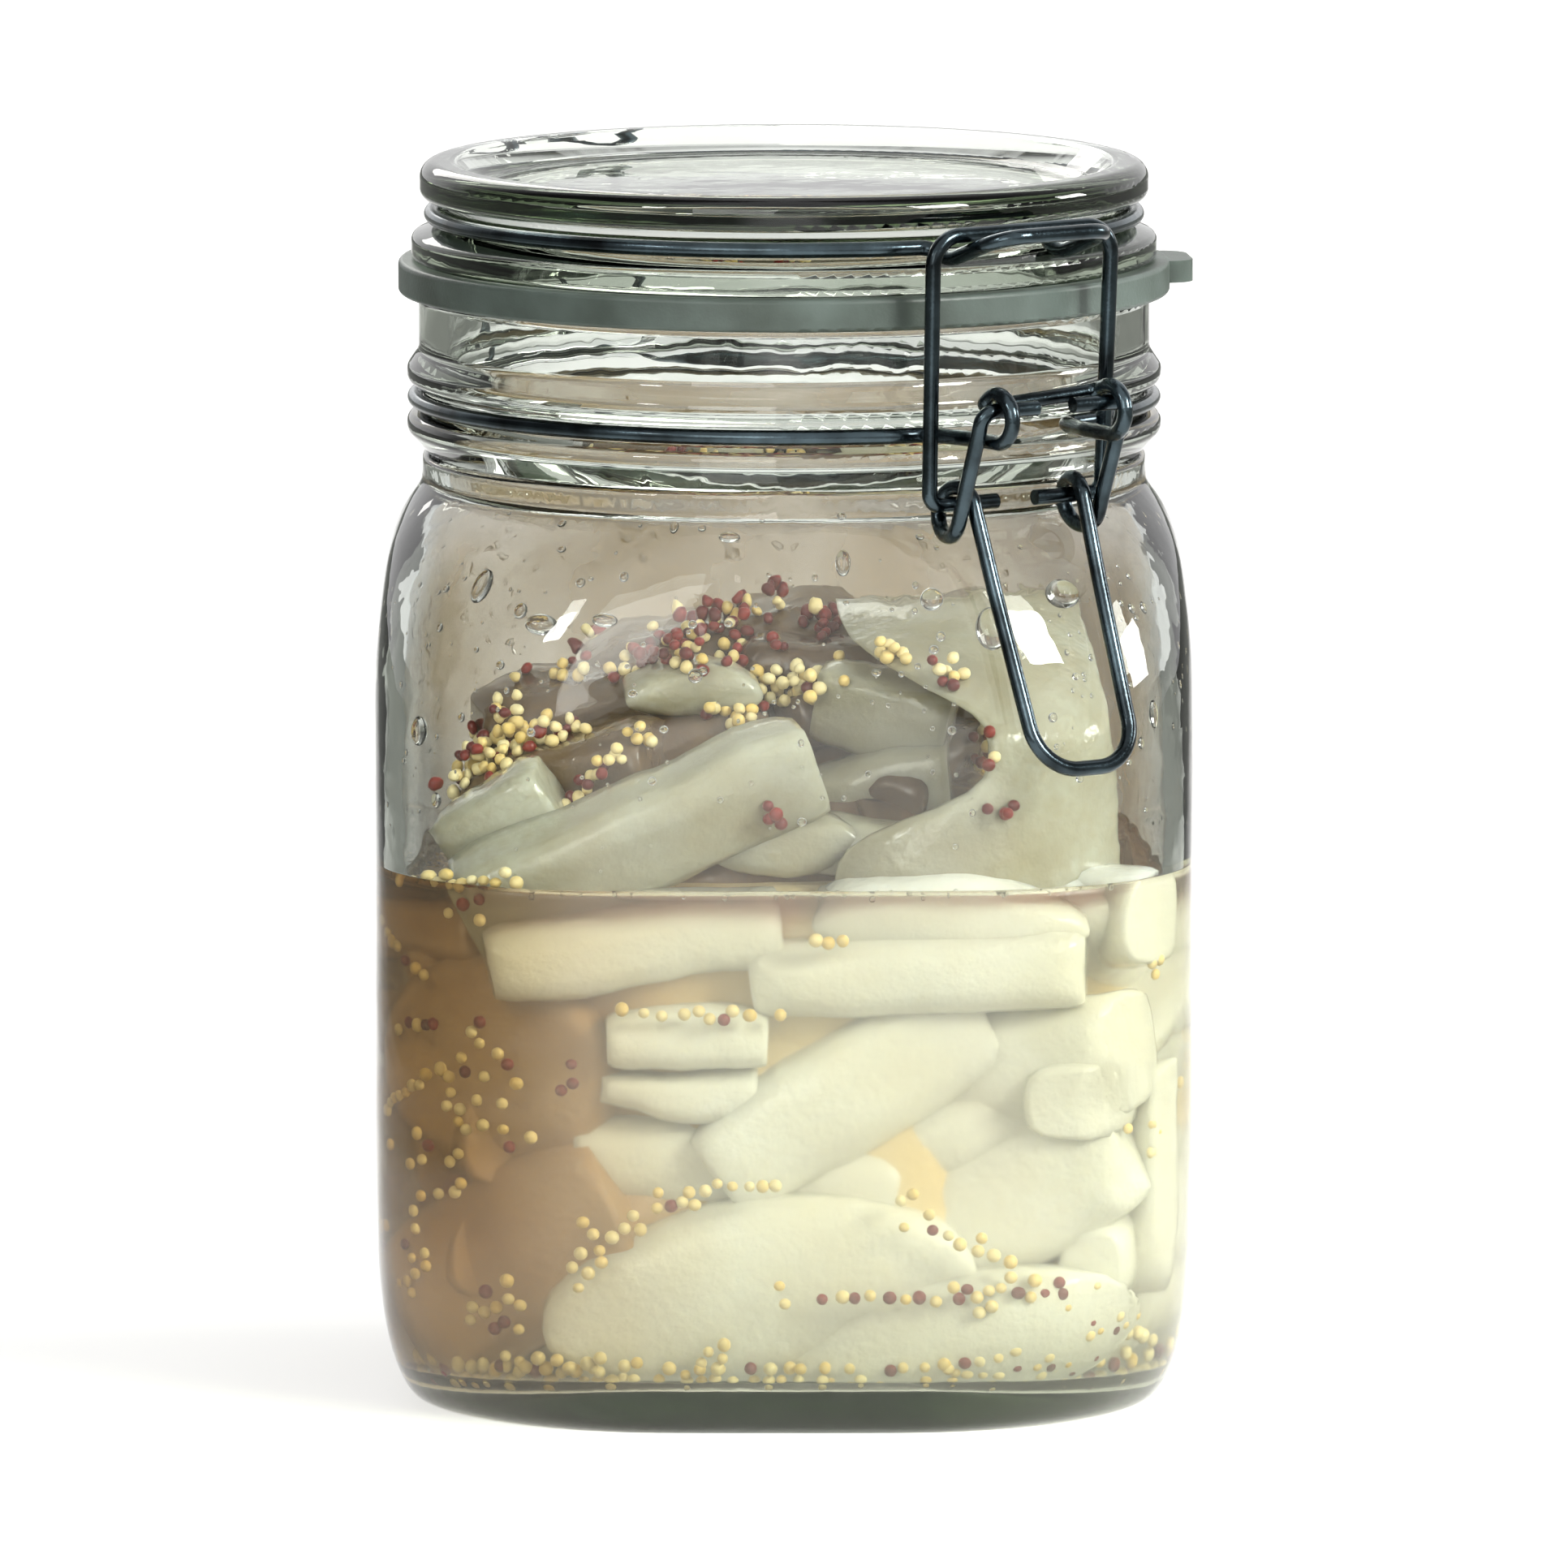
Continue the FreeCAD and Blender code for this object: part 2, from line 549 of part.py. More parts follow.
def make_heap():
    """Slices standing out of the brine, as one mound with an uneven outline."""
    low = uneven_outline(BRINE_LEVEL, HEAP_HALF, (1.02, 1.06, 0.98, 1.0, 1.0, 0.98, 1.04, 0.99), (0, 0))
    lower = uneven_outline(BRINE_LEVEL + 0.38 * HEAP_HEIGHT, HEAP_HALF,
                           (1.0, 0.98, 0.92, 0.86, 0.80, 0.84, 0.96, 1.0), (0, 0))
    upper = uneven_outline(BRINE_LEVEL + 0.74 * HEAP_HEIGHT, HEAP_HALF,
                           (0.78, 0.80, 0.74, 0.66, 0.58, 0.56, 0.60, 0.72), (1, 2))
    crown = uneven_outline(BRINE_LEVEL + HEAP_HEIGHT, HEAP_HALF,
                           (0.40, 0.46, 0.44, 0.36, 0.30, 0.26, 0.28, 0.34), (3, 6))
    return Part.makeLoft([low, lower, upper, crown], True, False, False, 3)


# ---- build ------------------------------------------------------------------
NODES = {
    "jar_glass": make_jar,
    "neck_wire": make_neck_wire,
    "brine": make_brine,
    "pickle_heap": make_heap,
    "lid_glass": make_lid,
    "rubber_ring": make_rubber,
    "lid_wire": make_lid_wire,
    "lever_wire": make_lever,
    "bail_wire": make_bail,
}

for name, make in NODES.items():
    shape = make()
    if shape.ShapeType != "Solid" and len(shape.Solids) == 1:
        shape = shape.Solids[0]
    box = shape.BoundBox
    print("%-12s valid %s solids %d volume %.1f z %.2f..%.2f" % (
        name, shape.isValid(), len(shape.Solids), shape.Volume, box.ZMin, box.ZMax))
    shape.exportStep("parts/" + name + ".step")
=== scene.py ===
"""Looks of the clip-top jar of sliced turnip in brine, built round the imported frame.

Every piece is made in metres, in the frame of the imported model. Sizes inside the
dataclasses are in millimetres, as a maker would write them, and MM brings them to metres.
"""
import json
import logging
import math
import random
from dataclasses import dataclass, field
from enum import Enum
from typing import Callable, Iterable, Sequence

import bpy
from mathutils import Matrix, Vector, noise
from mathutils.bvhtree import BVHTree

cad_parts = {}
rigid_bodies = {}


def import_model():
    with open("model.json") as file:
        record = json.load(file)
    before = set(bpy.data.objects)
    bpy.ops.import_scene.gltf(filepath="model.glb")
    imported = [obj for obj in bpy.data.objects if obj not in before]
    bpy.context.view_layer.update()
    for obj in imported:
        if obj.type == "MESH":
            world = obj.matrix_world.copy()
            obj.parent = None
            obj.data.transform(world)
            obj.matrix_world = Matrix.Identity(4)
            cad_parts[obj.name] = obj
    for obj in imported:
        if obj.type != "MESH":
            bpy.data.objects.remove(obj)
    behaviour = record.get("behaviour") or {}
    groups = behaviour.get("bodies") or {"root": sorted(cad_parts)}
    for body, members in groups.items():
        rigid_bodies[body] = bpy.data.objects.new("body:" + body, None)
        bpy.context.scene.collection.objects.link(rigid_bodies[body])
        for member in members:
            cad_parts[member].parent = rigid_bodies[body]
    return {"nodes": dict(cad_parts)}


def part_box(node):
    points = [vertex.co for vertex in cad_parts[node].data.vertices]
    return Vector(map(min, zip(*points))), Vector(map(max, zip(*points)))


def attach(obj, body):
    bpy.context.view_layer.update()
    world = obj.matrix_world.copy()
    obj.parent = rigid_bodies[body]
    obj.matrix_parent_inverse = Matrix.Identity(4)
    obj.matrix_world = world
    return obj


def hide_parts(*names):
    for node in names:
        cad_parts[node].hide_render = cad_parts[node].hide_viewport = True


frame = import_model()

log = logging.getLogger("clip_top_jar")
MM = 0.001
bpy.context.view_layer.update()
Tone = tuple[float, float, float]
Point = tuple[float, float, float]
Point2 = tuple[float, float]
Face = tuple[int, ...]
Mesh = tuple[list[Vector], list[Face]]
Node = bpy.types.Node
Socket = bpy.types.NodeSocket
Tree = bpy.types.NodeTree
Material = bpy.types.Material
Piece = bpy.types.Object


def linear(red: int, green: int, blue: int) -> Tone:
    """Display colour, 0 to 255 a channel, as a linear one."""
    def one(value: int) -> float:
        """One channel."""
        share = value / 255.0
        return share / 12.92 if share <= 0.04045 else ((share + 0.055) / 1.055) ** 2.4
    return one(red), one(green), one(blue)


def rgba(tone: Tone) -> tuple[float, float, float, float]:
    """A tone with full alpha."""
    return (*tone, 1.0)


def set_socket(tree: Tree, socket: Socket, value: Socket | Tone | float) -> None:
    """Joins a socket to another, or gives it a value.

    Args:
        tree: The tree that both are in.
        socket: The input.
        value: What it gets: an output, a tone or a number.
    """
    if isinstance(value, Socket):
        tree.links.new(value, socket)
    elif isinstance(value, tuple) and socket.type == "RGBA":
        socket.default_value = rgba(value)
    else:
        socket.default_value = value


# ---- nodes ---------------------------------------------------------------------
class Nodes:
    """Short ways to add, set and join the nodes of one tree."""

    def __init__(self, tree: Tree) -> None:
        """Takes the tree."""
        self.tree = tree

    def node(self, kind: str, **settings: object) -> Node:
        """Adds a node.

        Args:
            kind: The node's type name.
            settings: Its properties.

        Returns:
            The node.
        """
        made = self.tree.nodes.new(kind)
        for name, value in settings.items():
            setattr(made, name, value)
        return made

    def join(self, start: Socket, end: Socket) -> None:
        """Links two sockets."""
        self.tree.links.new(start, end)

    def calc(self, operation: str, *values: Socket | float) -> Socket:
        """Works a number out of others.

        Args:
            operation: What is done with them.
            values: Sockets or numbers.

        Returns:
            The result's socket.
        """
        made = self.node("ShaderNodeMath", operation=operation)
        for socket, value in zip(made.inputs, values):
            set_socket(self.tree, socket, value)
        return made.outputs[0]

    def noise(self, place: Socket, scale: Socket, detail: float) -> Socket:
        """Adds soft noise.

        Args:
            place: Where it is read.
            scale: How fine it is.
            detail: How many finer layers lie on it.

        Returns:
            Its value's socket.
        """
        made = self.node("ShaderNodeTexNoise")
        made.inputs["Detail"].default_value = detail
        self.join(place, made.inputs["Vector"])
        self.join(scale, made.inputs["Scale"])
        return made.outputs["Fac"]


class Shade(Nodes):
    """A material's node tree with short ways to build a surface."""

    def __init__(self, name: str) -> None:
        """Starts an empty material of that name."""
        self.material = bpy.data.materials.new(name)
        self.material.use_nodes = True
        super().__init__(self.material.node_tree)
        self.tree.nodes.clear()
        self.output = self.node("ShaderNodeOutputMaterial")

    def along(self, axis: str) -> Socket:
        """Where a point of the piece lies on one axis, in metres."""
        split = self.node("ShaderNodeSeparateXYZ")
        self.join(self.node("ShaderNodeTexCoord").outputs["Object"], split.inputs[0])
        return split.outputs[axis]

    def mix(self, share: Socket, first: Socket, second: Socket) -> Socket:
        """Mixes two shaders.

        Args:
            share: How much of the second.
            first: The first shader.
            second: The second shader.

        Returns:
            The mixed shader's socket.
        """
        made = self.node("ShaderNodeMixShader")
        for start, end in zip((share, first, second), made.inputs):
            self.join(start, end)
        return made.outputs["Shader"]

    def clear(self, tone: Tone = (1.0, 1.0, 1.0)) -> Socket:
        """A see-through shader that lets a tone pass."""
        made = self.node("ShaderNodeBsdfTransparent")
        made.inputs["Color"].default_value = rgba(tone)
        return made.outputs["BSDF"]

    def effect(self, group: Tree, **values: float) -> Node:
        """Places a shared effect and sets its inputs.

        Args:
            group: The node group.
            values: Input values, with underscores for spaces.

        Returns:
            The group's node.
        """
        made = self.node("ShaderNodeGroup", node_tree=group)
        for name, value in values.items():
            made.inputs[name.replace("_", " ")].default_value = value
        place = self.node("ShaderNodeTexCoord")
        self.join(place.outputs["Object"], made.inputs["Place"])
        return made

    def blend(self, share: Socket | float, low: Tone | Socket,
              high: Tone | Socket) -> Socket:
        """Mixes two colours.

        Args:
            share: How much of the second, a socket or a number.
            low: The first tone or socket.
            high: The second tone or socket.

        Returns:
            The mixed colour's socket.
        """
        mix = self.node("ShaderNodeMix", data_type="RGBA")
        for number, value in ((0, share), (6, low), (7, high)):
            set_socket(self.tree, mix.inputs[number], value)
        return mix.outputs[2]

    def span(self, value: Socket, low: float, high: float,
             start: float = 0.0, end: float = 1.0) -> Socket:
        """Brings a value from one range to another.

        Args:
            value: The value's socket.
            low: Start of its range.
            high: End of its range.
            start: What low becomes.
            end: What high becomes.

        Returns:
            The new value's socket.
        """
        made = self.node("ShaderNodeMapRange")
        self.join(value, made.inputs["Value"])
        limits = {"From Min": low, "From Max": high, "To Min": start, "To Max": end}
        for name, number in limits.items():
            made.inputs[name].default_value = number
        return made.outputs["Result"]

    def bump(self, height: Socket, depth: float) -> Socket:
        """Turns a height into a normal.

        Args:
            height: The height's socket, 0 to 1.
            depth: The relief's depth in metres.

        Returns:
            The normal's socket.
        """
        made = self.node("ShaderNodeBump")
        made.inputs["Strength"].default_value = 1.0
        made.inputs["Distance"].default_value = depth
        self.join(height, made.inputs["Height"])
        return made.outputs["Normal"]

    def surface(self, **values: object) -> Socket:
        """Adds the Principled shader and sets or joins its sockets.

        Args:
            values: Socket values by name, with underscores for spaces.

        Returns:
            The shader's socket.
        """
        made = self.node("ShaderNodeBsdfPrincipled")
        for name, value in values.items():
            set_socket(self.tree, made.inputs[name.replace("_", " ")], value)
        self.join(made.outputs["BSDF"], self.output.inputs["Surface"])
        return made.outputs["BSDF"]

    def lets_lamps_in(self, shader: Socket, tone: Tone = (1.0, 1.0, 1.0)) -> None:
        """Makes the surface clear to light from the lamps.

        Args:
            shader: The surface's shader.
            tone: What the clear side lets through.
        """
        path = self.node("ShaderNodeLightPath")
        mixed = self.mix(path.outputs["Is Shadow Ray"], shader, self.clear(tone))
        self.join(mixed, self.output.inputs["Surface"])

    def absorbs(self, tone: Tone, density: float) -> None:
        """Gives the body of the piece a tint that deepens with thickness.

        Args:
            tone: The colour that passes.
            density: How fast the rest is taken, per metre.
        """
        made = self.node("ShaderNodeVolumeAbsorption")
        made.inputs["Color"].default_value = rgba(tone)
        made.inputs["Density"].default_value = density
        self.join(made.outputs["Volume"], self.output.inputs["Volume"])


class Effects:
    """Shader effects that several finishes share, each built once."""

    FINE_SHARE = 0.18

    def __init__(self) -> None:
        """Builds the groups."""
        self.mottle = self._mottle()
        self.ripple = self._ripple()

    @staticmethod
    def _start(name: str, inputs: dict[str, float], outputs: Sequence[str]
               ) -> tuple[Nodes, Node, Node]:
        """Starts a group with a place and number inputs.

        Args:
            name: The group's name.
            inputs: Its number inputs and their defaults.
            outputs: Names of its number outputs.

        Returns:
            The group, its input node and its output node.
        """
        group = Nodes(bpy.data.node_groups.new(name, "ShaderNodeTree"))
        new = group.tree.interface.new_socket
        new(name="Place", in_out="INPUT", socket_type="NodeSocketVector")
        for label, value in inputs.items():
            new(name=label, in_out="INPUT", socket_type="NodeSocketFloat").default_value = value
        for label in outputs:
            new(name=label, in_out="OUTPUT", socket_type="NodeSocketFloat")
        return group, group.node("NodeGroupInput"), group.node("NodeGroupOutput")

    def _mottle(self) -> Tree:
        """Cloudy patches and a fine grain over them."""
        group, enter, leave = self._start(
            "mottle", {"Patch Scale": 60.0, "Grain Scale": 900.0, "Shift": 0.0},
            ("Patches", "Grain"))
        add = group.node("ShaderNodeVectorMath", operation="ADD")
        group.join(enter.outputs["Place"], add.inputs[0])
        group.join(enter.outputs["Shift"], add.inputs[1])
        for scale, detail, result in (("Patch Scale", 3.0, "Patches"),
                                      ("Grain Scale", 2.0, "Grain")):
            cloud = group.noise(add.outputs["Vector"], enter.outputs[scale], detail)
            group.join(cloud, leave.inputs[result])
        return group.tree

    def _ripple(self) -> Tree:
        """Level bands bent by a slow drift, as pressed glass has."""
        group, enter, leave = self._start(
            "ripple", {"Band Scale": 200.0, "Drift Scale": 30.0, "Stretch": 8.0}, ("Height",))
        spread = group.node("ShaderNodeVectorMath", operation="MULTIPLY")
        upright = group.node("ShaderNodeCombineXYZ")
        for axis, value in (("X", 1.0), ("Y", 1.0), ("Z", enter.outputs["Stretch"])):
            set_socket(group.tree, upright.inputs[axis], value)
        group.join(enter.outputs["Place"], spread.inputs[0])
        group.join(upright.outputs["Vector"], spread.inputs[1])
        slow = group.noise(spread.outputs["Vector"], enter.outputs["Drift Scale"], 1.0)
        fine = group.noise(enter.outputs["Place"], enter.outputs["Band Scale"], 2.0)
        group.join(group.calc("MULTIPLY_ADD", fine, self.FINE_SHARE, slow), leave.inputs["Height"])
        return group.tree


# ---- finishes -----------------------------------------------------------------
@dataclass(frozen=True)
class GlassFinish:
    """Pressed soda glass, faintly green where it is thick."""

    name: str = "pressed_glass"
    passes: Tone = (0.46, 0.53, 0.40)
    density: float = 52.0
    relief: float = 0.00035

    def material(self, effects: Effects) -> Material:
        """Builds the glass.

        Args:
            effects: The shared effects.

        Returns:
            The material.
        """
        shade = Shade(self.name)
        wave = shade.effect(effects.ripple, Band_Scale=120.0, Drift_Scale=26.0, Stretch=3.0)
        shader = shade.surface(
            Base_Color=(0.985, 0.995, 0.99), Roughness=0.0, IOR=1.5, Transmission_Weight=1.0,
            Normal=shade.bump(wave.outputs["Height"], self.relief))
        shade.lets_lamps_in(shader, (0.95, 0.97, 0.95))
        shade.absorbs(self.passes, self.density)
        return shade.material


@dataclass(frozen=True)
class BrineFinish:
    """Pickling brine: clear at its face, cloudy against the wall, with painted shade that browns
    the cloud towards the left.
    """

    passes: Tone = (0.94, 0.88, 0.82)
    density: float = 12.0
    cloud: float = 0.20
    veil: Tone = linear(247, 241, 224)
    # Brown that the cloud turns to at the left: painted shade.
    veil_left: Tone = linear(204, 166, 114)
    veiled: float = 0.15

    def material(self, effects: Effects, cloudy: bool) -> Material:
        """Builds one of the two brine surfaces.

        Args:
            effects: The shared effects.
            cloudy: Whether it is the side against the wall.

        Returns:
            The material.
        """
        shade = Shade("brine_cloudy" if cloudy else "brine_face")
        haze = shade.effect(effects.mottle, Patch_Scale=26.0, Grain_Scale=300.0)
        rough: Socket | float = 0.0
        tone: Socket | Tone = (0.995, 0.985, 0.95)
        if cloudy:
            # Painted shade: the cloud turns from the pale veil to brown towards the left.
            from_left = shade.span(shade.along("X"), -0.048, -0.006)
            tone = shade.blend(from_left, self.veil_left, self.veil)
            rough = shade.span(haze.outputs["Patches"], 0.35, 0.65,
                               self.cloud * 0.7, self.cloud * 1.3)
        shader = shade.surface(
            Base_Color=tone, Roughness=rough, IOR=1.34,
            Transmission_Weight=1.0 - self.veiled if cloudy else 1.0)
        shade.lets_lamps_in(shader, (0.96, 0.94, 0.86))
        shade.absorbs(self.passes, self.density)
        return shade.material


@dataclass(frozen=True)
class DropFinish:
    """Water beads on the inside of the glass."""

    name: str = "water_bead"

    def material(self) -> Material:
        """Builds the water."""
        shade = Shade(self.name)
        shader = shade.surface(Base_Color=(0.99, 0.99, 0.985), Roughness=0.0, IOR=1.33,
                               Transmission_Weight=1.0)
        shade.lets_lamps_in(shader)
        return shade.material


@dataclass(frozen=True)
class MistFinish:
    """Fine warm mist on the inside of the glass above the brine, thin at the front; towards the
    back it thickens into a dark tan cover of painted shade.
    """

    name: str = "wall_mist"
    # Dark tan of the cover at the back: painted shade.
    tone: Tone = linear(172, 146, 108)
    thin: float = 0.03
    thick: float = 0.56

    def material(self, effects: Effects) -> Material:
        """Builds the mist.

        Args:
            effects: The shared effects.

        Returns:
            The material.
        """
        shade = Shade(self.name)
        cloud = shade.effect(effects.mottle, Patch_Scale=38.0, Grain_Scale=420.0, Shift=0.4)
        # Painted shade: the mist thickens towards the back into a dark tan cover.
        back = shade.span(shade.along("Y"), -0.022, 0.030, self.thin, self.thick)
        patchy = shade.span(cloud.outputs["Patches"], 0.36, 0.68, 0.72, 1.1)
        shader = shade.surface(Base_Color=self.tone, Roughness=0.6)
        cover = shade.calc("MULTIPLY", back, patchy)
        shade.lets_lamps_in(shade.mix(cover, shade.clear(), shader))
        return shade.material


@dataclass(frozen=True)
class SteelFinish:
    """Drawn steel wire, blue-grey, with drawing lines and a thin oily film."""

    name: str = "drawn_steel"
    light: Tone = (0.066, 0.096, 0.112)
    dark: Tone = (0.008, 0.012, 0.014)

    def material(self, effects: Effects) -> Material:
        """Builds the steel.

        Args:
            effects: The shared effects.

        Returns:
            The material.
        """
        shade = Shade(self.name)
        stain = shade.effect(effects.mottle, Patch_Scale=140.0, Grain_Scale=2600.0)
        tone = shade.blend(shade.span(stain.outputs["Patches"], 0.35, 0.7), self.light, self.dark)
        rough = shade.span(stain.outputs["Grain"], 0.3, 0.7, 0.14, 0.27)
        shade.surface(Base_Color=tone, Metallic=1.0, Roughness=rough, Coat_Weight=0.25,
                      Coat_Roughness=0.12, Normal=shade.bump(stain.outputs["Grain"], 0.00002))
        return shade.material


@dataclass(frozen=True)
class RubberFinish:
    """Moulded rubber ring, milky grey and a little see-through at its edge."""

    name: str = "seal_rubber"
    body: Tone = linear(98, 111, 105)
    shaded: Tone = linear(62, 72, 64)

    def material(self, effects: Effects) -> Material:
        """Builds the rubber.

        Args:
            effects: The shared effects.

        Returns:
            The material.
        """
        shade = Shade(self.name)
        patch = shade.effect(effects.mottle, Patch_Scale=80.0, Grain_Scale=1800.0)
        tone = shade.blend(shade.span(patch.outputs["Patches"], 0.3, 0.7), self.body, self.shaded)
        shade.surface(Base_Color=tone, Roughness=0.42, Subsurface_Weight=0.35,
                      Subsurface_Radius=(0.0030, 0.0032, 0.0030), Subsurface_Scale=1.0,
                      Normal=shade.bump(patch.outputs["Grain"], 0.00004))
        return shade.material


@dataclass(frozen=True)
class PickleFinish:
    """Wet pickled turnip flesh: pale, watery, with fine fibres."""

    name: str
    pale: Tone
    deep: Tone
    soft: float
    # A brown tone that the flesh turns to at the left: painted shade.
    left: Tone | None = None

    def material(self, effects: Effects) -> Material:
        """Builds the flesh.

        Args:
            effects: The shared effects.

        Returns:
            The material.
        """
        shade = Shade(self.name)
        flesh = shade.effect(effects.mottle, Patch_Scale=55.0, Grain_Scale=700.0)
        patch = shade.span(flesh.outputs["Patches"], 0.32, 0.68)
        grain = shade.span(flesh.outputs["Grain"], 0.35, 0.75, 0.0, 0.35)
        tone = shade.blend(grain, shade.blend(patch, self.pale, self.deep), self.deep)
        if self.left:
            # Painted shade: the flesh turns to the left tone towards the left side.
            tone = shade.blend(shade.span(shade.along("X"), -0.034, 0.004), self.left, tone)
        shade.surface(
            Base_Color=tone, Roughness=shade.span(flesh.outputs["Grain"], 0.3, 0.7, 0.10, 0.26),
            Specular_IOR_Level=0.5, Coat_Weight=0.6, Coat_Roughness=0.05,
            Subsurface_Weight=self.soft, Subsurface_Radius=(0.0060, 0.0056, 0.0042),
            Subsurface_Scale=1.0,
            Normal=shade.bump(flesh.outputs["Grain"], 0.00020))
        return shade.material


@dataclass(frozen=True)
class SeedFinish:
    """Mustard seed skin, from one tone to another over the seeds."""

    name: str
    first: Tone
    second: Tone
    shade: float = 0.62

    def material(self, effects: Effects) -> Material:
        """Builds the seed skin.

        Args:
            effects: The shared effects.

        Returns:
            The material.
        """
        shade = Shade(self.name)
        tint = shade.node("ShaderNodeAttribute", attribute_name="tint")
        skin = shade.effect(effects.mottle, Patch_Scale=500.0, Grain_Scale=3000.0)
        base = shade.blend(tint.outputs["Fac"], self.first, self.second)
        darker = tuple(self.shade * value for value in self.second)
        tone = shade.blend(shade.span(skin.outputs["Patches"], 0.45, 0.85, 0.0, 0.6), base, darker)
        shade.surface(Base_Color=tone, Roughness=0.30, Specular_IOR_Level=0.6,
                      Normal=shade.bump(skin.outputs["Grain"], 0.00003))
        return shade.material


# ---- mesh helpers --------------------------------------------------------------
def shown(name: str, data: bpy.types.ID) -> Piece:
    """Puts a mesh, lamp or camera into the scene."""
    piece = bpy.data.objects.new(name, data)
    bpy.context.scene.collection.objects.link(piece)
    return piece


def placed(name: str, mesh: bpy.types.Mesh, body: str, slot: str) -> Piece:
    """Shows a mesh as a piece that rides on a body."""
    piece = shown(name, mesh)
    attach(piece, body)
    return piece


def mesh_piece(name: str, points: Sequence[Sequence[float]], faces: Sequence[Sequence[int]],
               body: str, slot: str, materials: Sequence[Material],
               picks: Sequence[int] | None = None) -> Piece:
    """Makes a smooth mesh piece that rides on a body.

    Args:
        name: The piece's name.
        points: Its points in metres.
        faces: Its faces.
        body: The body that it rides on.
        slot: Not used.
        materials: Its materials.
        picks: The material of each face.

    Returns:
        The object.
    """
    mesh = bpy.data.meshes.new(name)
    mesh.from_pydata([tuple(point) for point in points], [], [tuple(face) for face in faces])
    for material in materials:
        mesh.materials.append(material)
    mesh.polygons.foreach_set("use_smooth", [True] * len(mesh.polygons))
    if picks is not None:
        mesh.polygons.foreach_set("material_index", list(picks))
    mesh.update()
    return placed(name, mesh, body, slot)


def lathe_faces(rows: int, around: int, first: int = 0) -> list[Face]:
    """Quads between rings of points that run anticlockwise and upwards.

    Args:
        rows: How many rings.
        around: Points in a ring.
        first: Number of the first point.

    Returns:
        The faces, facing outwards.
    """
    found = []
    for row in range(rows - 1):
        for step in range(around):
            after = (step + 1) % around
            low, high = first + row * around, first + (row + 1) * around
            found.append((low + step, low + after, high + after, high + step))
    return found


def round_point(angle: float, out: float, height: float) -> Vector:
    """A point round the axis: direction in radians, distance and level."""
    return Vector((out * math.cos(angle), out * math.sin(angle), height))


def rounded_square(angle: float, crisp: float) -> Point2:
    """A point of a square with round corners, sharper the higher crisp is."""
    cosine, sine = math.cos(angle), math.sin(angle)
    reach = (abs(cosine) ** crisp + abs(sine) ** crisp) ** (-1.0 / crisp)
    return cosine * reach, sine * reach


def close_ends(points: list[Vector], faces: list[Face], around: int, top: int) -> None:
    """Closes the first and the last ring of a tube with a fan each.

    Args:
        points: The tube's points; the two middles are added.
        faces: Its faces; the fans are added.
        around: Points in a ring.
        top: Number of the last ring's first point.
    """
    for ring, flip in ((0, True), (top, False)):
        points.append(sum(points[ring:ring + around], Vector()) / around)
        for step in range(around):
            pair = (ring + step, ring + (step + 1) % around)
            faces.append((*(reversed(pair) if flip else pair), len(points) - 1))


def mesh_tree(mesh: bpy.types.Mesh) -> BVHTree:
    """A tree that finds where a line meets the mesh."""
    return BVHTree.FromPolygons([vertex.co.copy() for vertex in mesh.vertices],
                                [tuple(face.vertices) for face in mesh.polygons])


class Cavity:
    """The room inside the glass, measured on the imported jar."""

    def __init__(self, node: str = "jar_glass") -> None:
        """Reads the inner wall.

        Args:
            node: The glass node.
        """
        self.tree = mesh_tree(frame["nodes"][node].data)
        self.around, levels = 120, 90
        self.low, self.step = 7.0 * MM, 1.5 * MM
        self.rows = [self._ring(self.low + self.step * row) for row in range(levels)]
        off_middle = Vector((0.012, 0.012, 0.05))
        self.floor = self.tree.ray_cast(off_middle, Vector((0, 0, -1)))[0].z

    def _ring(self, height: float) -> list[float]:
        """Reaches of the inner wall round one level."""
        found = []
        for step in range(self.around):
            angle = math.tau * step / self.around
            hit = self.tree.ray_cast(Vector((0.0, 0.0, height)), round_point(angle, 1.0, 0.0))[0]
            found.append(hit.xy.length if hit else 0.0)
        return found

    def reach(self, angle: float, height: float) -> float:
        """How far the inner wall is from the axis.

        Args:
            angle: Direction round the axis, in radians.
            height: Level in metres.

        Returns:
            The distance in metres.
        """
        row = min(max((height - self.low) / self.step, 0.0), len(self.rows) - 1.001)
        turn = (angle / math.tau % 1.0) * self.around
        low, at = int(row), int(turn) % self.around
        after = (at + 1) % self.around
        share, part = row - low, turn - int(turn)
        near = self.rows[low][at] * (1 - part) + self.rows[low][after] * part
        far = self.rows[low + 1][at] * (1 - part) + self.rows[low + 1][after] * part
        return near * (1 - share) + far * share

    def keep(self, point: Vector, gap: float) -> Vector:
        """Brings a point inside the wall and above the base.

        Args:
            point: The point, in metres.
            gap: How far it stays from the glass, in metres.

        Returns:
            The point, moved only if it has to be.
        """
        point = point.copy()
        point.z = max(point.z, self.floor + gap)
        flat = point.xy.length
        if flat < 1e-6:
            return point
        most = self.reach(math.atan2(point.y, point.x), point.z) - gap
        if flat > most:
            point.xy *= most / flat
        return point

    def wall(self, across: float, height: float, facing: float = 0.0) -> tuple[Vector, Vector]:
        """The inner wall in front of a place, seen from one side.

        Args:
            across: How far to the right of the axis, in metres.
            height: Level in metres.
            facing: The side, in degrees round the axis from the front.

        Returns:
            The point and the direction out through the glass.
        """
        turn = Matrix.Rotation(math.radians(facing), 3, "Z")
        start, aim = turn @ Vector((across, 0.0, height)), turn @ Vector((0.0, -1.0, 0.0))
        hit, normal, _, _ = self.tree.ray_cast(start, aim)
        if hit is None:
            return start, aim
        return hit, normal if normal.dot(aim) > 0 else -normal


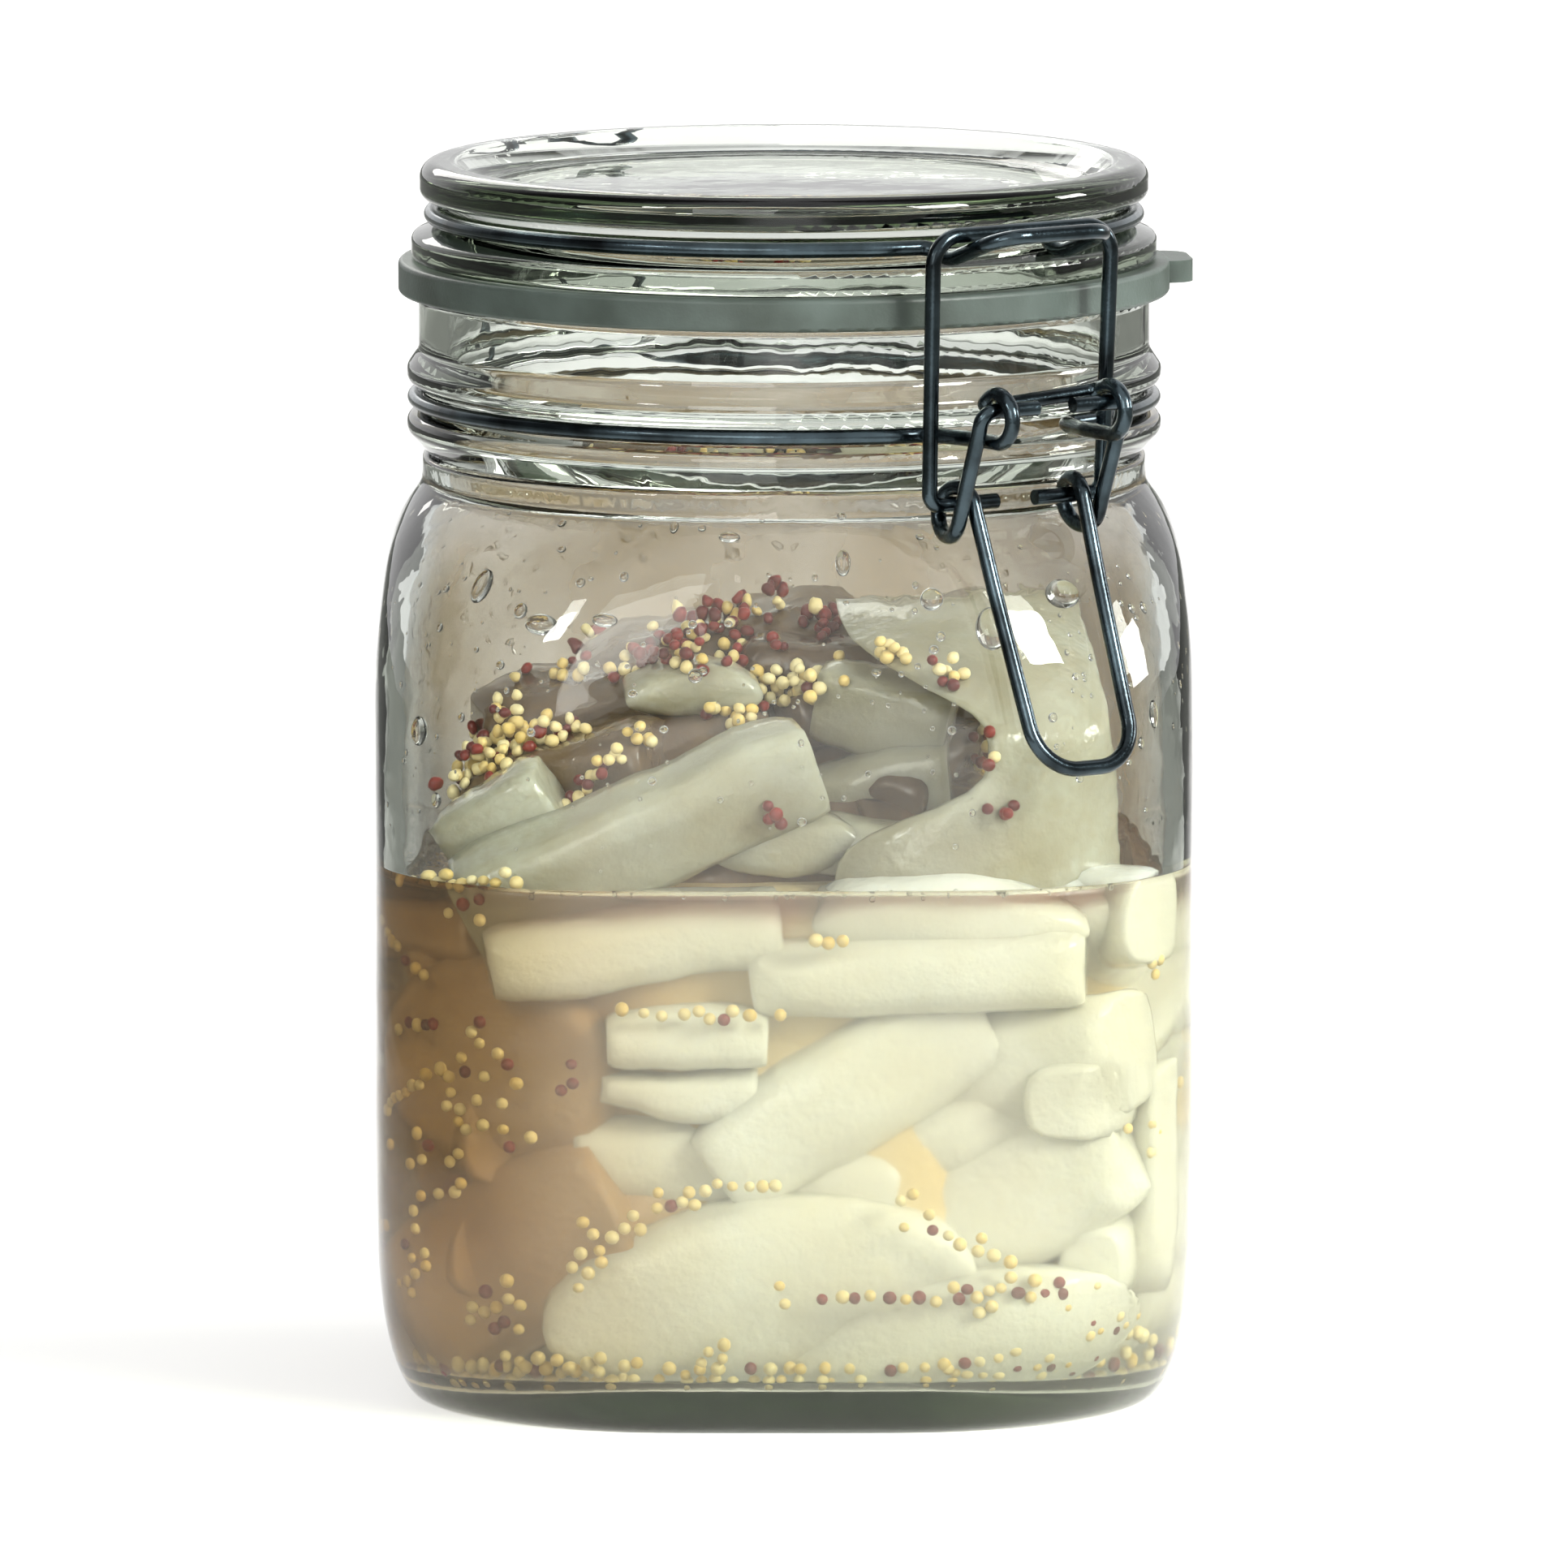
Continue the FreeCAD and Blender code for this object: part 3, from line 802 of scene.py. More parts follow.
# ---- brine -----------------------------------------------------------------------
@dataclass
class Brine:
    """The liquid, reaching just into the wall, with its edge drawn up the glass."""

    cavity: Cavity
    sink: float = 0.30
    climb: float = 1.25
    around: int = 160
    level: float = field(init=False)

    def __post_init__(self) -> None:
        """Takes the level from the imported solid."""
        self.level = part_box("brine")[1].z

    def _ring(self, height: float, inset: float, drop: float = 0.0) -> list[Vector]:
        """A ring of points, inset from the sunk edge."""
        angles = [math.tau * step / self.around for step in range(self.around)]
        reach = self.cavity.reach
        return [round_point(angle, reach(angle, height) + self.sink * MM - inset, height - drop)
                for angle in angles]

    def build(self, finish: BrineFinish, effects: Effects) -> Piece:
        """Builds and dresses the brine.

        Args:
            finish: The brine's finish.
            effects: The shared effects.

        Returns:
            The object.
        """
        bottom = self.cavity.floor
        foot_levels = (0.35, 0.7, 1.2, 1.9, 2.8, 4.0, 5.6, 7.6, 10.0, 13.0, 17.0)
        levels = [bottom + step * MM for step in foot_levels]
        count, foot = 16, levels[-1]
        levels += [foot + (self.level - foot) * (step + 1) / count for step in range(count)]
        levels.append(self.level + self.climb * MM)
        rings = []
        for share in (0.0, 0.3, 0.6, 0.85, 0.96):
            ring = self._ring(levels[0], 0.0)
            rings.append([Vector((p.x * share, p.y * share, bottom - self.sink * MM))
                          for p in ring])
        rings[0] = [Vector((0.0, 0.0, bottom - self.sink * MM))]
        rings += [self._ring(z, 0.0, 0.25 * MM if z == levels[0] else 0.0) for z in levels]
        sides = len(rings)
        for inset, rise in ((0.45, 1.0), (0.65, 0.72), (0.95, 0.46), (1.4, 0.24), (2.0, 0.1),
                            (3.0, 0.02)):
            ring = self._ring(self.level, inset * MM)
            rings.append([Vector((p.x, p.y, self.level + rise * self.climb * MM)) for p in ring])
        edge = rings[-1]
        for share in (0.8, 0.55, 0.3, 0.1):
            rings.append([Vector((p.x * share, p.y * share, self.level)) for p in edge])
        points: list[Vector] = [rings[0][0]]
        for ring in rings[1:]:
            points += ring
        faces: list[Face] = [(0, 1 + (s + 1) % self.around, 1 + s) for s in range(self.around)]
        faces += lathe_faces(len(rings) - 1, self.around, 1)
        last = 1 + (len(rings) - 2) * self.around
        points.append(Vector((0.0, 0.0, self.level)))
        faces += [(last + s, last + (s + 1) % self.around, len(points) - 1)
                  for s in range(self.around)]
        under = (sides - 1) * self.around
        picks = [int(number >= under) for number in range(len(faces))]
        dressed = [finish.material(effects, True), finish.material(effects, False)]
        piece = mesh_piece("brine_fill", points, faces, "jar", "brine", dressed, picks)
        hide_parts("brine")
        return piece


# ---- slices ----------------------------------------------------------------------
LUMPS = 0.09  # how fast the unevenness changes, per millimetre


class Cut(Enum):
    """How a slice was cut."""

    PLANK = "plank"
    OVAL = "oval"
    WEDGE = "wedge"


@dataclass(frozen=True)
class Slice:
    """One slice: sizes and place in millimetres, turns in degrees.

    The length runs across, the height upwards and the depth away from the viewer of the
    side that it faces. arch bends it crown upwards, wrap bends it crown towards the viewer.
    """

    at: Point
    size: Point
    heading: float = 0.0
    slope: float = 0.0
    lean: float = 0.0
    arch: float = 0.0
    wrap: float = 0.0
    cut: Cut = Cut.PLANK
    facing: float = 0.0
    # shaded picks the darker copy of the flesh: painted shade.
    shaded: bool = False
    crisp: float = 3.2

    def _outline(self, along: float) -> float:
        """Share of the height at one place on the length."""
        if self.cut is Cut.OVAL:
            return math.sqrt(max(1.0 - along * along, 0.0)) ** 0.9
        if self.cut is Cut.WEDGE:
            return 0.72 + 0.28 * along
        return 1.0 - 0.13 * abs(along) ** 3

    def _rings(self, rim: float) -> list[tuple[float, float]]:
        """Places of the rings on the length, -1 to 1, and how much of the section each has.

        Args:
            rim: How far the cut edges are rounded, in millimetres.

        Returns:
            The places and shares, from end to end.
        """
        if self.cut is Cut.OVAL:
            return [(-math.cos(math.pi * (0.03 + 0.94 * k / 18)), 1.0) for k in range(19)]
        length = self.size[0]
        ease = 1.0 - 2.0 * rim / length
        start = [(-1.0, 0.55), (-1.0 + 0.08 * rim / length, 0.8), (-1.0 + 0.8 * rim / length, 0.94)]
        middle = [((-1.0 + 2.0 * k / 16) * ease, 1.0) for k in range(17)]
        return start + middle + [(-place, share) for place, share in reversed(start)]

    def _swollen(self, point: Vector, number: int) -> Vector:
        """A point of the smooth slice on the uneven one."""
        seat = Vector((point.x * LUMPS + number * 7.31, point.y * LUMPS, point.z * LUMPS))
        swell = 0.95 * noise.noise(seat) + 0.22 * noise.noise(seat * 4.0)
        slant = 0.10 * noise.noise(Vector((number * 3.7, 0.5, 0.5))) * point.z
        return point + Vector((0.3, 1.0, 1.0)) * swell + Vector((slant, 0.0, 0.0))

    def mesh(self, number: int, cavity: Cavity, gap: float) -> Mesh:
        """Makes the slice's points and faces.

        Args:
            number: Its number, which seeds its unevenness.
            cavity: The room that it has to stay in.
            gap: How far it stays from the glass, in millimetres.

        Returns:
            Its points in metres, and its faces.
        """
        length, height, depth = self.size
        around = 20
        rim = min(2.4, 0.30 * min(height, depth))
        rings = self._rings(rim)
        side = Matrix.Rotation(math.radians(self.facing), 3, "Z")
        turn = (side @ Matrix.Rotation(math.radians(self.heading), 3, "Z")
                @ Matrix.Rotation(math.radians(-self.slope), 3, "Y")
                @ Matrix.Rotation(math.radians(-self.lean), 3, "X"))
        base = side @ Vector(self.at)
        placed = []
        for along, shrink in rings:
            share = self._outline(along)
            in_depth = 1.0 - (1.0 - share) * 0.25
            high = share * (1.0 - rim / height * (1.0 - shrink) * 2.0)
            thick = in_depth * (1.0 - rim / depth * (1.0 - shrink) * 2.0)
            for step in range(around):
                across, rise = rounded_square(math.tau * step / around, self.crisp)
                point = self._bent(along * length / 2.0, height / 2.0 * rise * high,
                                   depth / 2.0 * across * thick)
                point = turn @ self._swollen(point, number) + base
                placed.append(cavity.keep(point * MM, gap * MM))
        faces = lathe_faces(len(rings), around)
        close_ends(placed, faces, around, (len(rings) - 1) * around)
        return placed, faces

    def _bent(self, along: float, up: float, deep: float) -> Vector:
        """A point of the straight slice on the bent one."""
        point = Vector((along, deep, up))
        length = self.size[0]
        if self.arch:
            radius = length / math.radians(self.arch)
            angle = along / radius
            point = Vector(((radius + up) * math.sin(angle), deep,
                            (radius + up) * math.cos(angle) - radius))
        if self.wrap:
            radius = length / math.radians(self.wrap)
            angle = point.x / radius
            point = Vector(((radius - deep) * math.sin(angle),
                            radius - (radius - deep) * math.cos(angle), point.z))
        return point


@dataclass(frozen=True)
class CurledSheet:
    """The wide thin slice that curls against the wall, open like a C towards the left.

    Sizes in millimetres. Its rings are level, and each runs round the sheet's thickness.
    """

    low: float = 65.0
    high: float = 104.0
    left: float = 6.5
    right: float = 44.0
    notch: float = 20.0
    notch_at: float = 88.5
    notch_half: float = 9.5
    face: float = -39.5
    curve: float = 0.026
    thick: float = 6.0
    crisp: float = 3.4
    # shaded picks the darker copy of the flesh: painted shade.
    shaded: bool = False

    def _front(self, across: float, height: float) -> float:
        """How far forward the middle of the sheet is."""
        back = max(0.0, (height - 90.0) / (self.high - 90.0))
        return self.face + self.curve * (across - 20.0) ** 2 + 31.0 * back ** 1.7

    def mesh(self, number: int, cavity: Cavity, gap: float) -> Mesh:
        """Makes the sheet's points and faces.

        Args:
            number: Its number, which seeds its unevenness.
            cavity: The room that it has to stay in.
            gap: How far it stays from the glass, in millimetres.

        Returns:
            Its points in metres, and its faces.
        """
        rows, around = 30, 44
        points = []
        for row in range(rows):
            share = 0.5 - 0.5 * math.cos(math.pi * (0.02 + 0.96 * row / (rows - 1)))
            height = self.low + (self.high - self.low) * share
            notch = self.notch * math.exp(-abs((height - self.notch_at) / self.notch_half) ** 3)
            left, right = self.left + notch, self.right - 5.0 * share ** 3
            ease = min(1.0, 6.0 * (1.0 - share) + 0.25)
            for step in range(around):
                side, rise = rounded_square(math.tau * step / around, self.crisp)
                across = (left + right) / 2.0 + (right - left) / 2.0 * side
                back = self.thick / 2.0 * rise * ease
                spot = Vector((across * LUMPS + number, height * LUMPS, back * 0.05))
                swell = 1.1 * noise.noise(spot)
                deep = self._front(across, height) + back + swell
                point = Vector((across, deep, height + 0.5 * swell))
                points.append(cavity.keep(point * MM, gap * MM))
        faces = lathe_faces(rows, around)
        close_ends(points, faces, around, (rows - 1) * around)
        return points, faces


@dataclass
class SlicedTurnip:
    """All slices, the ones above the brine and the ones in it, and the pack behind them."""

    cavity: Cavity
    gap: float = 0.45

    def above(self) -> list[Slice]:
        """Slices that stand out of the brine at the front."""
        return [
            Slice((-18.5, -35.5, 77.5), (48, 14.5, 11), 3, 24, -20, 12, 10, crisp=6.0),
            Slice((-12, -17, 94.2), (18, 7.5, 9), 4, 3, -10, 10, 0, Cut.OVAL),
            Slice((13, -19, 91), (18, 12, 8), -10, -12, -18, 0, 0, crisp=5.0),
            Slice((12, -20, 82.5), (20, 9, 9), -4, 8, -16, 0, 0, Cut.WEDGE, crisp=5.0),
            Slice((-36.5, -29, 78), (16, 12, 9), -16, 30, -18, 0, 0, crisp=5.0),
            Slice((0, -30, 75.5), (19, 8, 10), 2, 6, -6, 10, 8, Cut.OVAL),
            Slice((12, -28, 74.5), (26, 8, 12), -6, -3, -8, 6, 0),
            # The five slices below get the darker finish because they lie in shade: painted shade.
            Slice((-27, -6, 90.5), (28, 9, 15), 12, 9, -14, 12, 0, shaded=True),
            Slice((-8, 2, 97.6), (36, 8, 17), 6, 8, -12, 22, 0, shaded=True),
            Slice((4, -8, 95), (18, 10, 12), -12, -4, -6, 0, 0, shaded=True),
            Slice((-29, -20, 83.5), (27, 9, 13), -22, 16, -10, 12, 0, shaded=True),
            Slice((-16, -15, 86), (28, 10, 14), 8, 12, -8, 8, 0, shaded=True),
        ]

    def behind(self) -> list[Slice]:
        """Slices that stand out of the brine at the middle and the back, laid by chance."""
        chance = random.Random(19)
        found = []
        layers = ((70.0, 36.0, 15), (77.0, 31.0, 14), (84.0, 25.0, 11), (90.5, 16.0, 7))
        for low, reach, count in layers:
            for step in range(count):
                angle = math.radians(-35.0 + 250.0 * (step + chance.uniform(-0.3, 0.3)) / count)
                out = reach * chance.uniform(0.62, 1.0)
                at = (out * math.cos(angle), out * math.sin(angle), low + chance.uniform(-2.0, 2.0))
                size = (chance.uniform(22, 36), chance.uniform(7, 10), chance.uniform(9, 14))
                found.append(Slice(at, size, math.degrees(angle) + 90.0 + chance.uniform(-35, 35),
                                   chance.uniform(-16, 16), chance.uniform(-18, 18),
                                   chance.uniform(0, 20), 0,
                                   chance.choice((Cut.PLANK, Cut.PLANK, Cut.WEDGE, Cut.OVAL)), 0,
                                   # Slices in front of 8 mm behind the axis take the darker finish:
                                   # painted shade.
                                   out * math.sin(angle) < 8.0))
        return found

    def sunk_front(self) -> list[Slice]:
        """Slices in the brine at the front."""
        return [
            Slice((-19, -40.5, 64), (37, 10.5, 12), 2, 8, -4, 8, 8),
            Slice((17, -42, 60.5), (42, 11.5, 11), -2, 2, 0, 7, 10),
            Slice((21, -40, 68), (34, 11, 14), 2, -3, -10, 18, 14, Cut.OVAL),
            Slice((38, -27, 66), (26, 13, 12), -48, 4, 0, 8, 10),
            Slice((-12.5, -42, 52), (21, 7.5, 11), 0, 1, -4, 4, 0),
            Slice((-14, -40, 44.5), (20, 9, 11), 4, -4, -4, 6, 0, Cut.WEDGE),
            Slice((8, -39, 44.5), (40, 16, 12), 4, 30, -8, 14, 8),
            Slice((29, -36, 47), (34, 17, 12), -12, 14, -6, 16, 8),
            Slice((44.5, -30, 32), (31, 14, 8), -50, 80, 0, 10, 0, Cut.OVAL),
            Slice((-3, -41, 18.5), (56, 25, 10), 0, 8, -10, 16, 12, Cut.OVAL),
            Slice((22, -41, 12.5), (52, 17, 10), -4, 7, -8, 12, 12, Cut.OVAL),
            Slice((27, -35, 29), (36, 19, 12), -8, 34, -6, 16, 8),
            Slice((-6, -36, 34.5), (42, 12, 12), 0, -7, -8, 10, 0),
            Slice((17, -35, 35.5), (32, 13, 10), -6, 26, -6, 10, 8),
            # The three slices at the far left get the darker finish: painted shade.
            Slice((-34, -32, 47), (30, 30, 11), -36, 22, -6, 12, 10, Cut.OVAL, shaded=True),
            Slice((-33, -33, 22), (34, 22, 11), -32, 34, -6, 12, 12, shaded=True),
            Slice((-40, -22, 64), (22, 9, 12), -60, 6, 0, 8, 0, shaded=True),
        ]

    def sunk_round(self) -> list[Slice]:
        """Slices in the brine at the other three sides, stacked with an even hand."""
        chance = random.Random(41)
        found = []
        for facing in (90.0, 180.0, 270.0):
            near = {90.0: -1.0, 180.0: 0.0, 270.0: 1.0}[facing]
            height = 14.0
            while height < 66.0:
                for across in (-27.0, -3.0, 21.0):
                    tall = chance.uniform(8.0, 15.0)
                    size = (chance.uniform(27, 40), tall, chance.uniform(9, 14))
                    cut = chance.choice((Cut.PLANK, Cut.PLANK, Cut.PLANK, Cut.OVAL, Cut.WEDGE))
                    at = (across + chance.uniform(-5, 5) - 7.0 * near, -39 + chance.uniform(-1, 4),
                          height + chance.uniform(-3, 3))
                    found.append(Slice(at, size, chance.uniform(-8, 8), chance.uniform(-22, 26),
                                       chance.uniform(-12, 6), chance.uniform(0, 22),
                                       chance.uniform(4, 16), cut, facing,
                                       # Slices at the front half of the left side take the darker
                                       # finish: painted shade.
                                       facing == 270.0 and across > 0))
                height += chance.uniform(8.5, 11.0)
        return found

    def _joined(self, slices: Iterable[Slice | CurledSheet]
                ) -> tuple[list[Vector], list[Face], list[int]]:
        """Points, faces and finish numbers of several slices together."""
        points: list[Vector] = []
        faces: list[Face] = []
        picks: list[int] = []
        for number, one in enumerate(slices):
            some, their = one.mesh(number, self.cavity, self.gap)
            faces += [tuple(corner + len(points) for corner in face) for face in their]
            picks += [int(one.shaded)] * len(their)
            points += some
        return points, faces, picks

    def _pack(self, low: float, high: float, share: Callable[[float], float], number: int) -> Mesh:
        """A lumpy closed body well inside the wall, which fills behind the slices.

        Args:
            low: Its lowest level, in millimetres.
            high: Its highest level, in millimetres.
            share: Its share of the reach to the wall, from 0 at its foot to 1 at its top.
            number: Its number, which seeds its unevenness.

        Returns:
            Its points in metres, and its faces.
        """
        around, rows, liquid_top = 72, 22, 70.0
        points = []
        for row in range(rows):
            up = row / (rows - 1)
            z = low + (high - low) * up
            for step in range(around):
                angle = math.tau * step / around
                out = self.cavity.reach(angle, min(z, liquid_top) * MM) / MM * share(up)
                spot = round_point(angle, out, z) * 0.055
                out *= 1.0 + 0.10 * noise.noise(spot + Vector((number, 0, 0)))
                lift = 1.2 * noise.noise(spot * 2.0) * math.sin(math.pi * up)
                points.append(round_point(angle, out, z + lift) * MM)
        faces = lathe_faces(rows, around)
        for ring, height, flip in ((0, low, True), ((rows - 1) * around, high, False)):
            points.append(Vector((0.0, 0.0, height * MM)))
            for step in range(around):
                pair = (ring + step, ring + (step + 1) % around)
                faces.append((*(reversed(pair) if flip else pair), len(points) - 1))
        return points, faces

    def build(self, effects: Effects) -> list[Piece]:
        """Builds and dresses the slices.

        Args:
            effects: The shared effects.

        Returns:
            The pieces.
        """
        wet, pale, brown, dull, back, inner = (
            PickleFinish(name, linear(*light), linear(*deep), soft, left)
            for name, light, deep, soft, left in (
                ("turnip_flesh", (188, 188, 172), (160, 152, 126), 0.40, None),
                ("steeped_turnip", (240, 243, 238), (228, 225, 210), 0.25, None),
                # A darker copy of the steeped flesh for the slices in the brine at the left:
                # painted shade.
                ("browned_turnip", (200, 168, 124), (170, 134, 92), 0.0, None),
                # A darker copy of the wet flesh for slices above the brine that lie in shade:
                # painted shade.
                ("shaded_turnip", (116, 94, 66), (80, 58, 38), 0.0, None),
                # The pack behind the slices in the brine, brown towards the left: painted shade.
                ("packed_turnip", (243, 228, 190), (228, 204, 152), 0.0, linear(150, 98, 48)),
                # Dark body for the gaps in the heap: painted shade.
                ("heaped_turnip", (128, 98, 64), (84, 58, 36), 0.0, None)))

        def piece(name: str, mesh: Mesh, finishes: Sequence[PickleFinish],
                  picks: Sequence[int] | None = None) -> Piece:
            """One mesh of turnip on the jar."""
            materials = [finish.material(effects) for finish in finishes]
            return mesh_piece(name, *mesh, "jar", "pickle", materials, picks)

        *mesh, picks = self._joined([CurledSheet(), *self.above(), *self.behind()])
        heap = piece("slices_above_brine", mesh, (wet, dull), picks)
        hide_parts("pickle_heap")
        *mesh, picks = self._joined([*self.sunk_front(), *self.sunk_round()])
        sunk = piece("slices_in_brine", mesh, (pale, brown), picks)
        core = piece("packed_slices", self._pack(
            8.5, 70.5, lambda up: 0.80 * min(1.0, up * 14 + 0.3, (1 - up) * 9 + 0.6), 3), [back])
        # Dark core that fills the gaps between the heaped slices: painted shade.
        mound = piece("heap_shade_core", self._pack(
            66.0, 88.0, lambda up: 0.60 * math.sqrt(max(1.02 - up ** 2.4, 0.01)), 9), [inner])
        return [heap, sunk, core, mound]


# ---- scattering ------------------------------------------------------------------
@dataclass(frozen=True)
class Spot:
    """One scattered thing: place and direction in metres, sizes as shares."""

    at: Vector
    facing: Vector
    size: float
    tint: float
    tall: float = 1.0


class Scatter(Nodes):
    """Geometry Nodes that set a small closed shape on points and make it real."""

    def __init__(self, name: str) -> None:
        """Builds the tree of that name."""
        super().__init__(bpy.data.node_groups.new(name, "GeometryNodeTree"))
        self.ids: dict[str, str] = {}
        for label, kind, value in (
                ("Points", "NodeSocketGeometry", None), ("Diameter", "NodeSocketFloat", 0.002),
                ("Flatness", "NodeSocketFloat", 1.0), ("Size Spread", "NodeSocketFloat", 0.1),
                ("Detail", "NodeSocketInt", 2), ("Seed", "NodeSocketInt", 7),
                ("Finish", "NodeSocketMaterial", None)):
            made = self.tree.interface.new_socket(name=label, in_out="INPUT", socket_type=kind)
            if value is not None:
                made.default_value = value
            self.ids[label] = made.identifier
        self.tree.interface.new_socket(name="Geometry", in_out="OUTPUT",
                                       socket_type="NodeSocketGeometry")
        self._wire()

    @staticmethod
    def _socket(sockets: Iterable[Socket], name: str) -> Socket:
        """The socket of that name that is in use."""
        return next(socket for socket in sockets if socket.name == name and socket.enabled)

    def _named(self, name: str, kind: str) -> Socket:
        """A value that each point carries."""
        made = self.node("GeometryNodeInputNamedAttribute", data_type=kind)
        made.inputs["Name"].default_value = name
        return self._socket(made.outputs, "Attribute")

    def _wire(self) -> None:
        """Joins the nodes: ball, turn, size, tint, real mesh, finish."""
        link = self.tree.links.new
        enter, leave = self.node("NodeGroupInput"), self.node("NodeGroupOutput")
        ball = self.node("GeometryNodeMeshIcoSphere")
        link(enter.outputs["Detail"], ball.inputs["Subdivisions"])
        link(self.calc("MULTIPLY", enter.outputs["Diameter"], 0.5), ball.inputs["Radius"])
        smooth = self.node("GeometryNodeSetShadeSmooth")
        link(ball.outputs["Mesh"], smooth.inputs["Geometry"])
        chance = self.node("FunctionNodeRandomValue", data_type="FLOAT")
        self._socket(chance.inputs, "Min").default_value = -1.0
        self._socket(chance.inputs, "Max").default_value = 1.0
        link(enter.outputs["Seed"], self._socket(chance.inputs, "Seed"))
        uneven = self.calc("MULTIPLY", self._socket(chance.outputs, "Value"),
                           enter.outputs["Size Spread"])
        size = self.calc("MULTIPLY", self._named("reach", "FLOAT"), self.calc("ADD", uneven, 1.0))
        scale = self.node("ShaderNodeCombineXYZ")
        link(size, scale.inputs["X"])
        link(self.calc("MULTIPLY", size, self._named("tall", "FLOAT")), scale.inputs["Y"])
        link(self.calc("MULTIPLY", size, enter.outputs["Flatness"]), scale.inputs["Z"])
        level = self.node("FunctionNodeAlignRotationToVector", axis="Z")
        link(self._named("facing", "FLOAT_VECTOR"), level.inputs["Vector"])
        upright = self.node("FunctionNodeAlignRotationToVector", axis="Y", pivot_axis="Z")
        link(level.outputs["Rotation"], upright.inputs["Rotation"])
        upright.inputs["Vector"].default_value = (0.0, 0.0, 1.0)
        place = self.node("GeometryNodeInstanceOnPoints")
        link(enter.outputs["Points"], place.inputs["Points"])
        link(smooth.outputs["Geometry"], place.inputs["Instance"])
        link(upright.outputs["Rotation"], place.inputs["Rotation"])
        link(scale.outputs["Vector"], place.inputs["Scale"])
        real = self.node("GeometryNodeRealizeInstances")
        link(place.outputs["Instances"], real.inputs["Geometry"])
        dress = self.node("GeometryNodeSetMaterial")
        link(real.outputs["Geometry"], dress.inputs["Geometry"])
        link(enter.outputs["Finish"], dress.inputs["Material"])
        link(dress.outputs["Geometry"], leave.inputs["Geometry"])

    def piece(self, name: str, spots: Sequence[Spot], body: str, slot: str,
              material: Material, **values: float) -> Piece:
        """Runs the tree over some spots and keeps the result as a plain mesh.

        Args:
            name: The piece's name.
            spots: Where the things are.
            body: The body that they ride on.
            slot: Not used.
            material: Their material.
            values: The tree's inputs, with underscores for spaces.

        Returns:
            The object.
        """
        cloud = bpy.data.meshes.new(name + "_points")
        cloud.from_pydata([tuple(spot.at) for spot in spots], [], [])
        for label, source in (("reach", "size"), ("tint", "tint"), ("tall", "tall")):
            made = cloud.attributes.new(label, "FLOAT", "POINT")
            made.data.foreach_set("value", [getattr(spot, source) for spot in spots])
        made = cloud.attributes.new("facing", "FLOAT_VECTOR", "POINT")
        made.data.foreach_set("vector", [part for spot in spots for part in spot.facing])
        holder = shown(name + "_holder", cloud)
        change = holder.modifiers.new("scatter", "NODES")
        change.node_group = self.tree
        change[self.ids["Finish"]] = material
        for label, value in values.items():
            change[self.ids[label.replace("_", " ")]] = value
        bpy.context.view_layer.update()
        seen = holder.evaluated_get(bpy.context.evaluated_depsgraph_get())
        mesh = bpy.data.meshes.new_from_object(seen)
        mesh.name = name
        bpy.data.objects.remove(holder)
        return placed(name, mesh, body, slot)


@dataclass(frozen=True)
class Cluster:
    """A patch of seeds: middle and spread in millimetres, as seen from one side."""

    across: float
    height: float
    wide: float
    tall: float
    count: int
    red: float = 0.15
    slope: float = 0.0
    on_slices: bool = False
    facing: float = 0.0


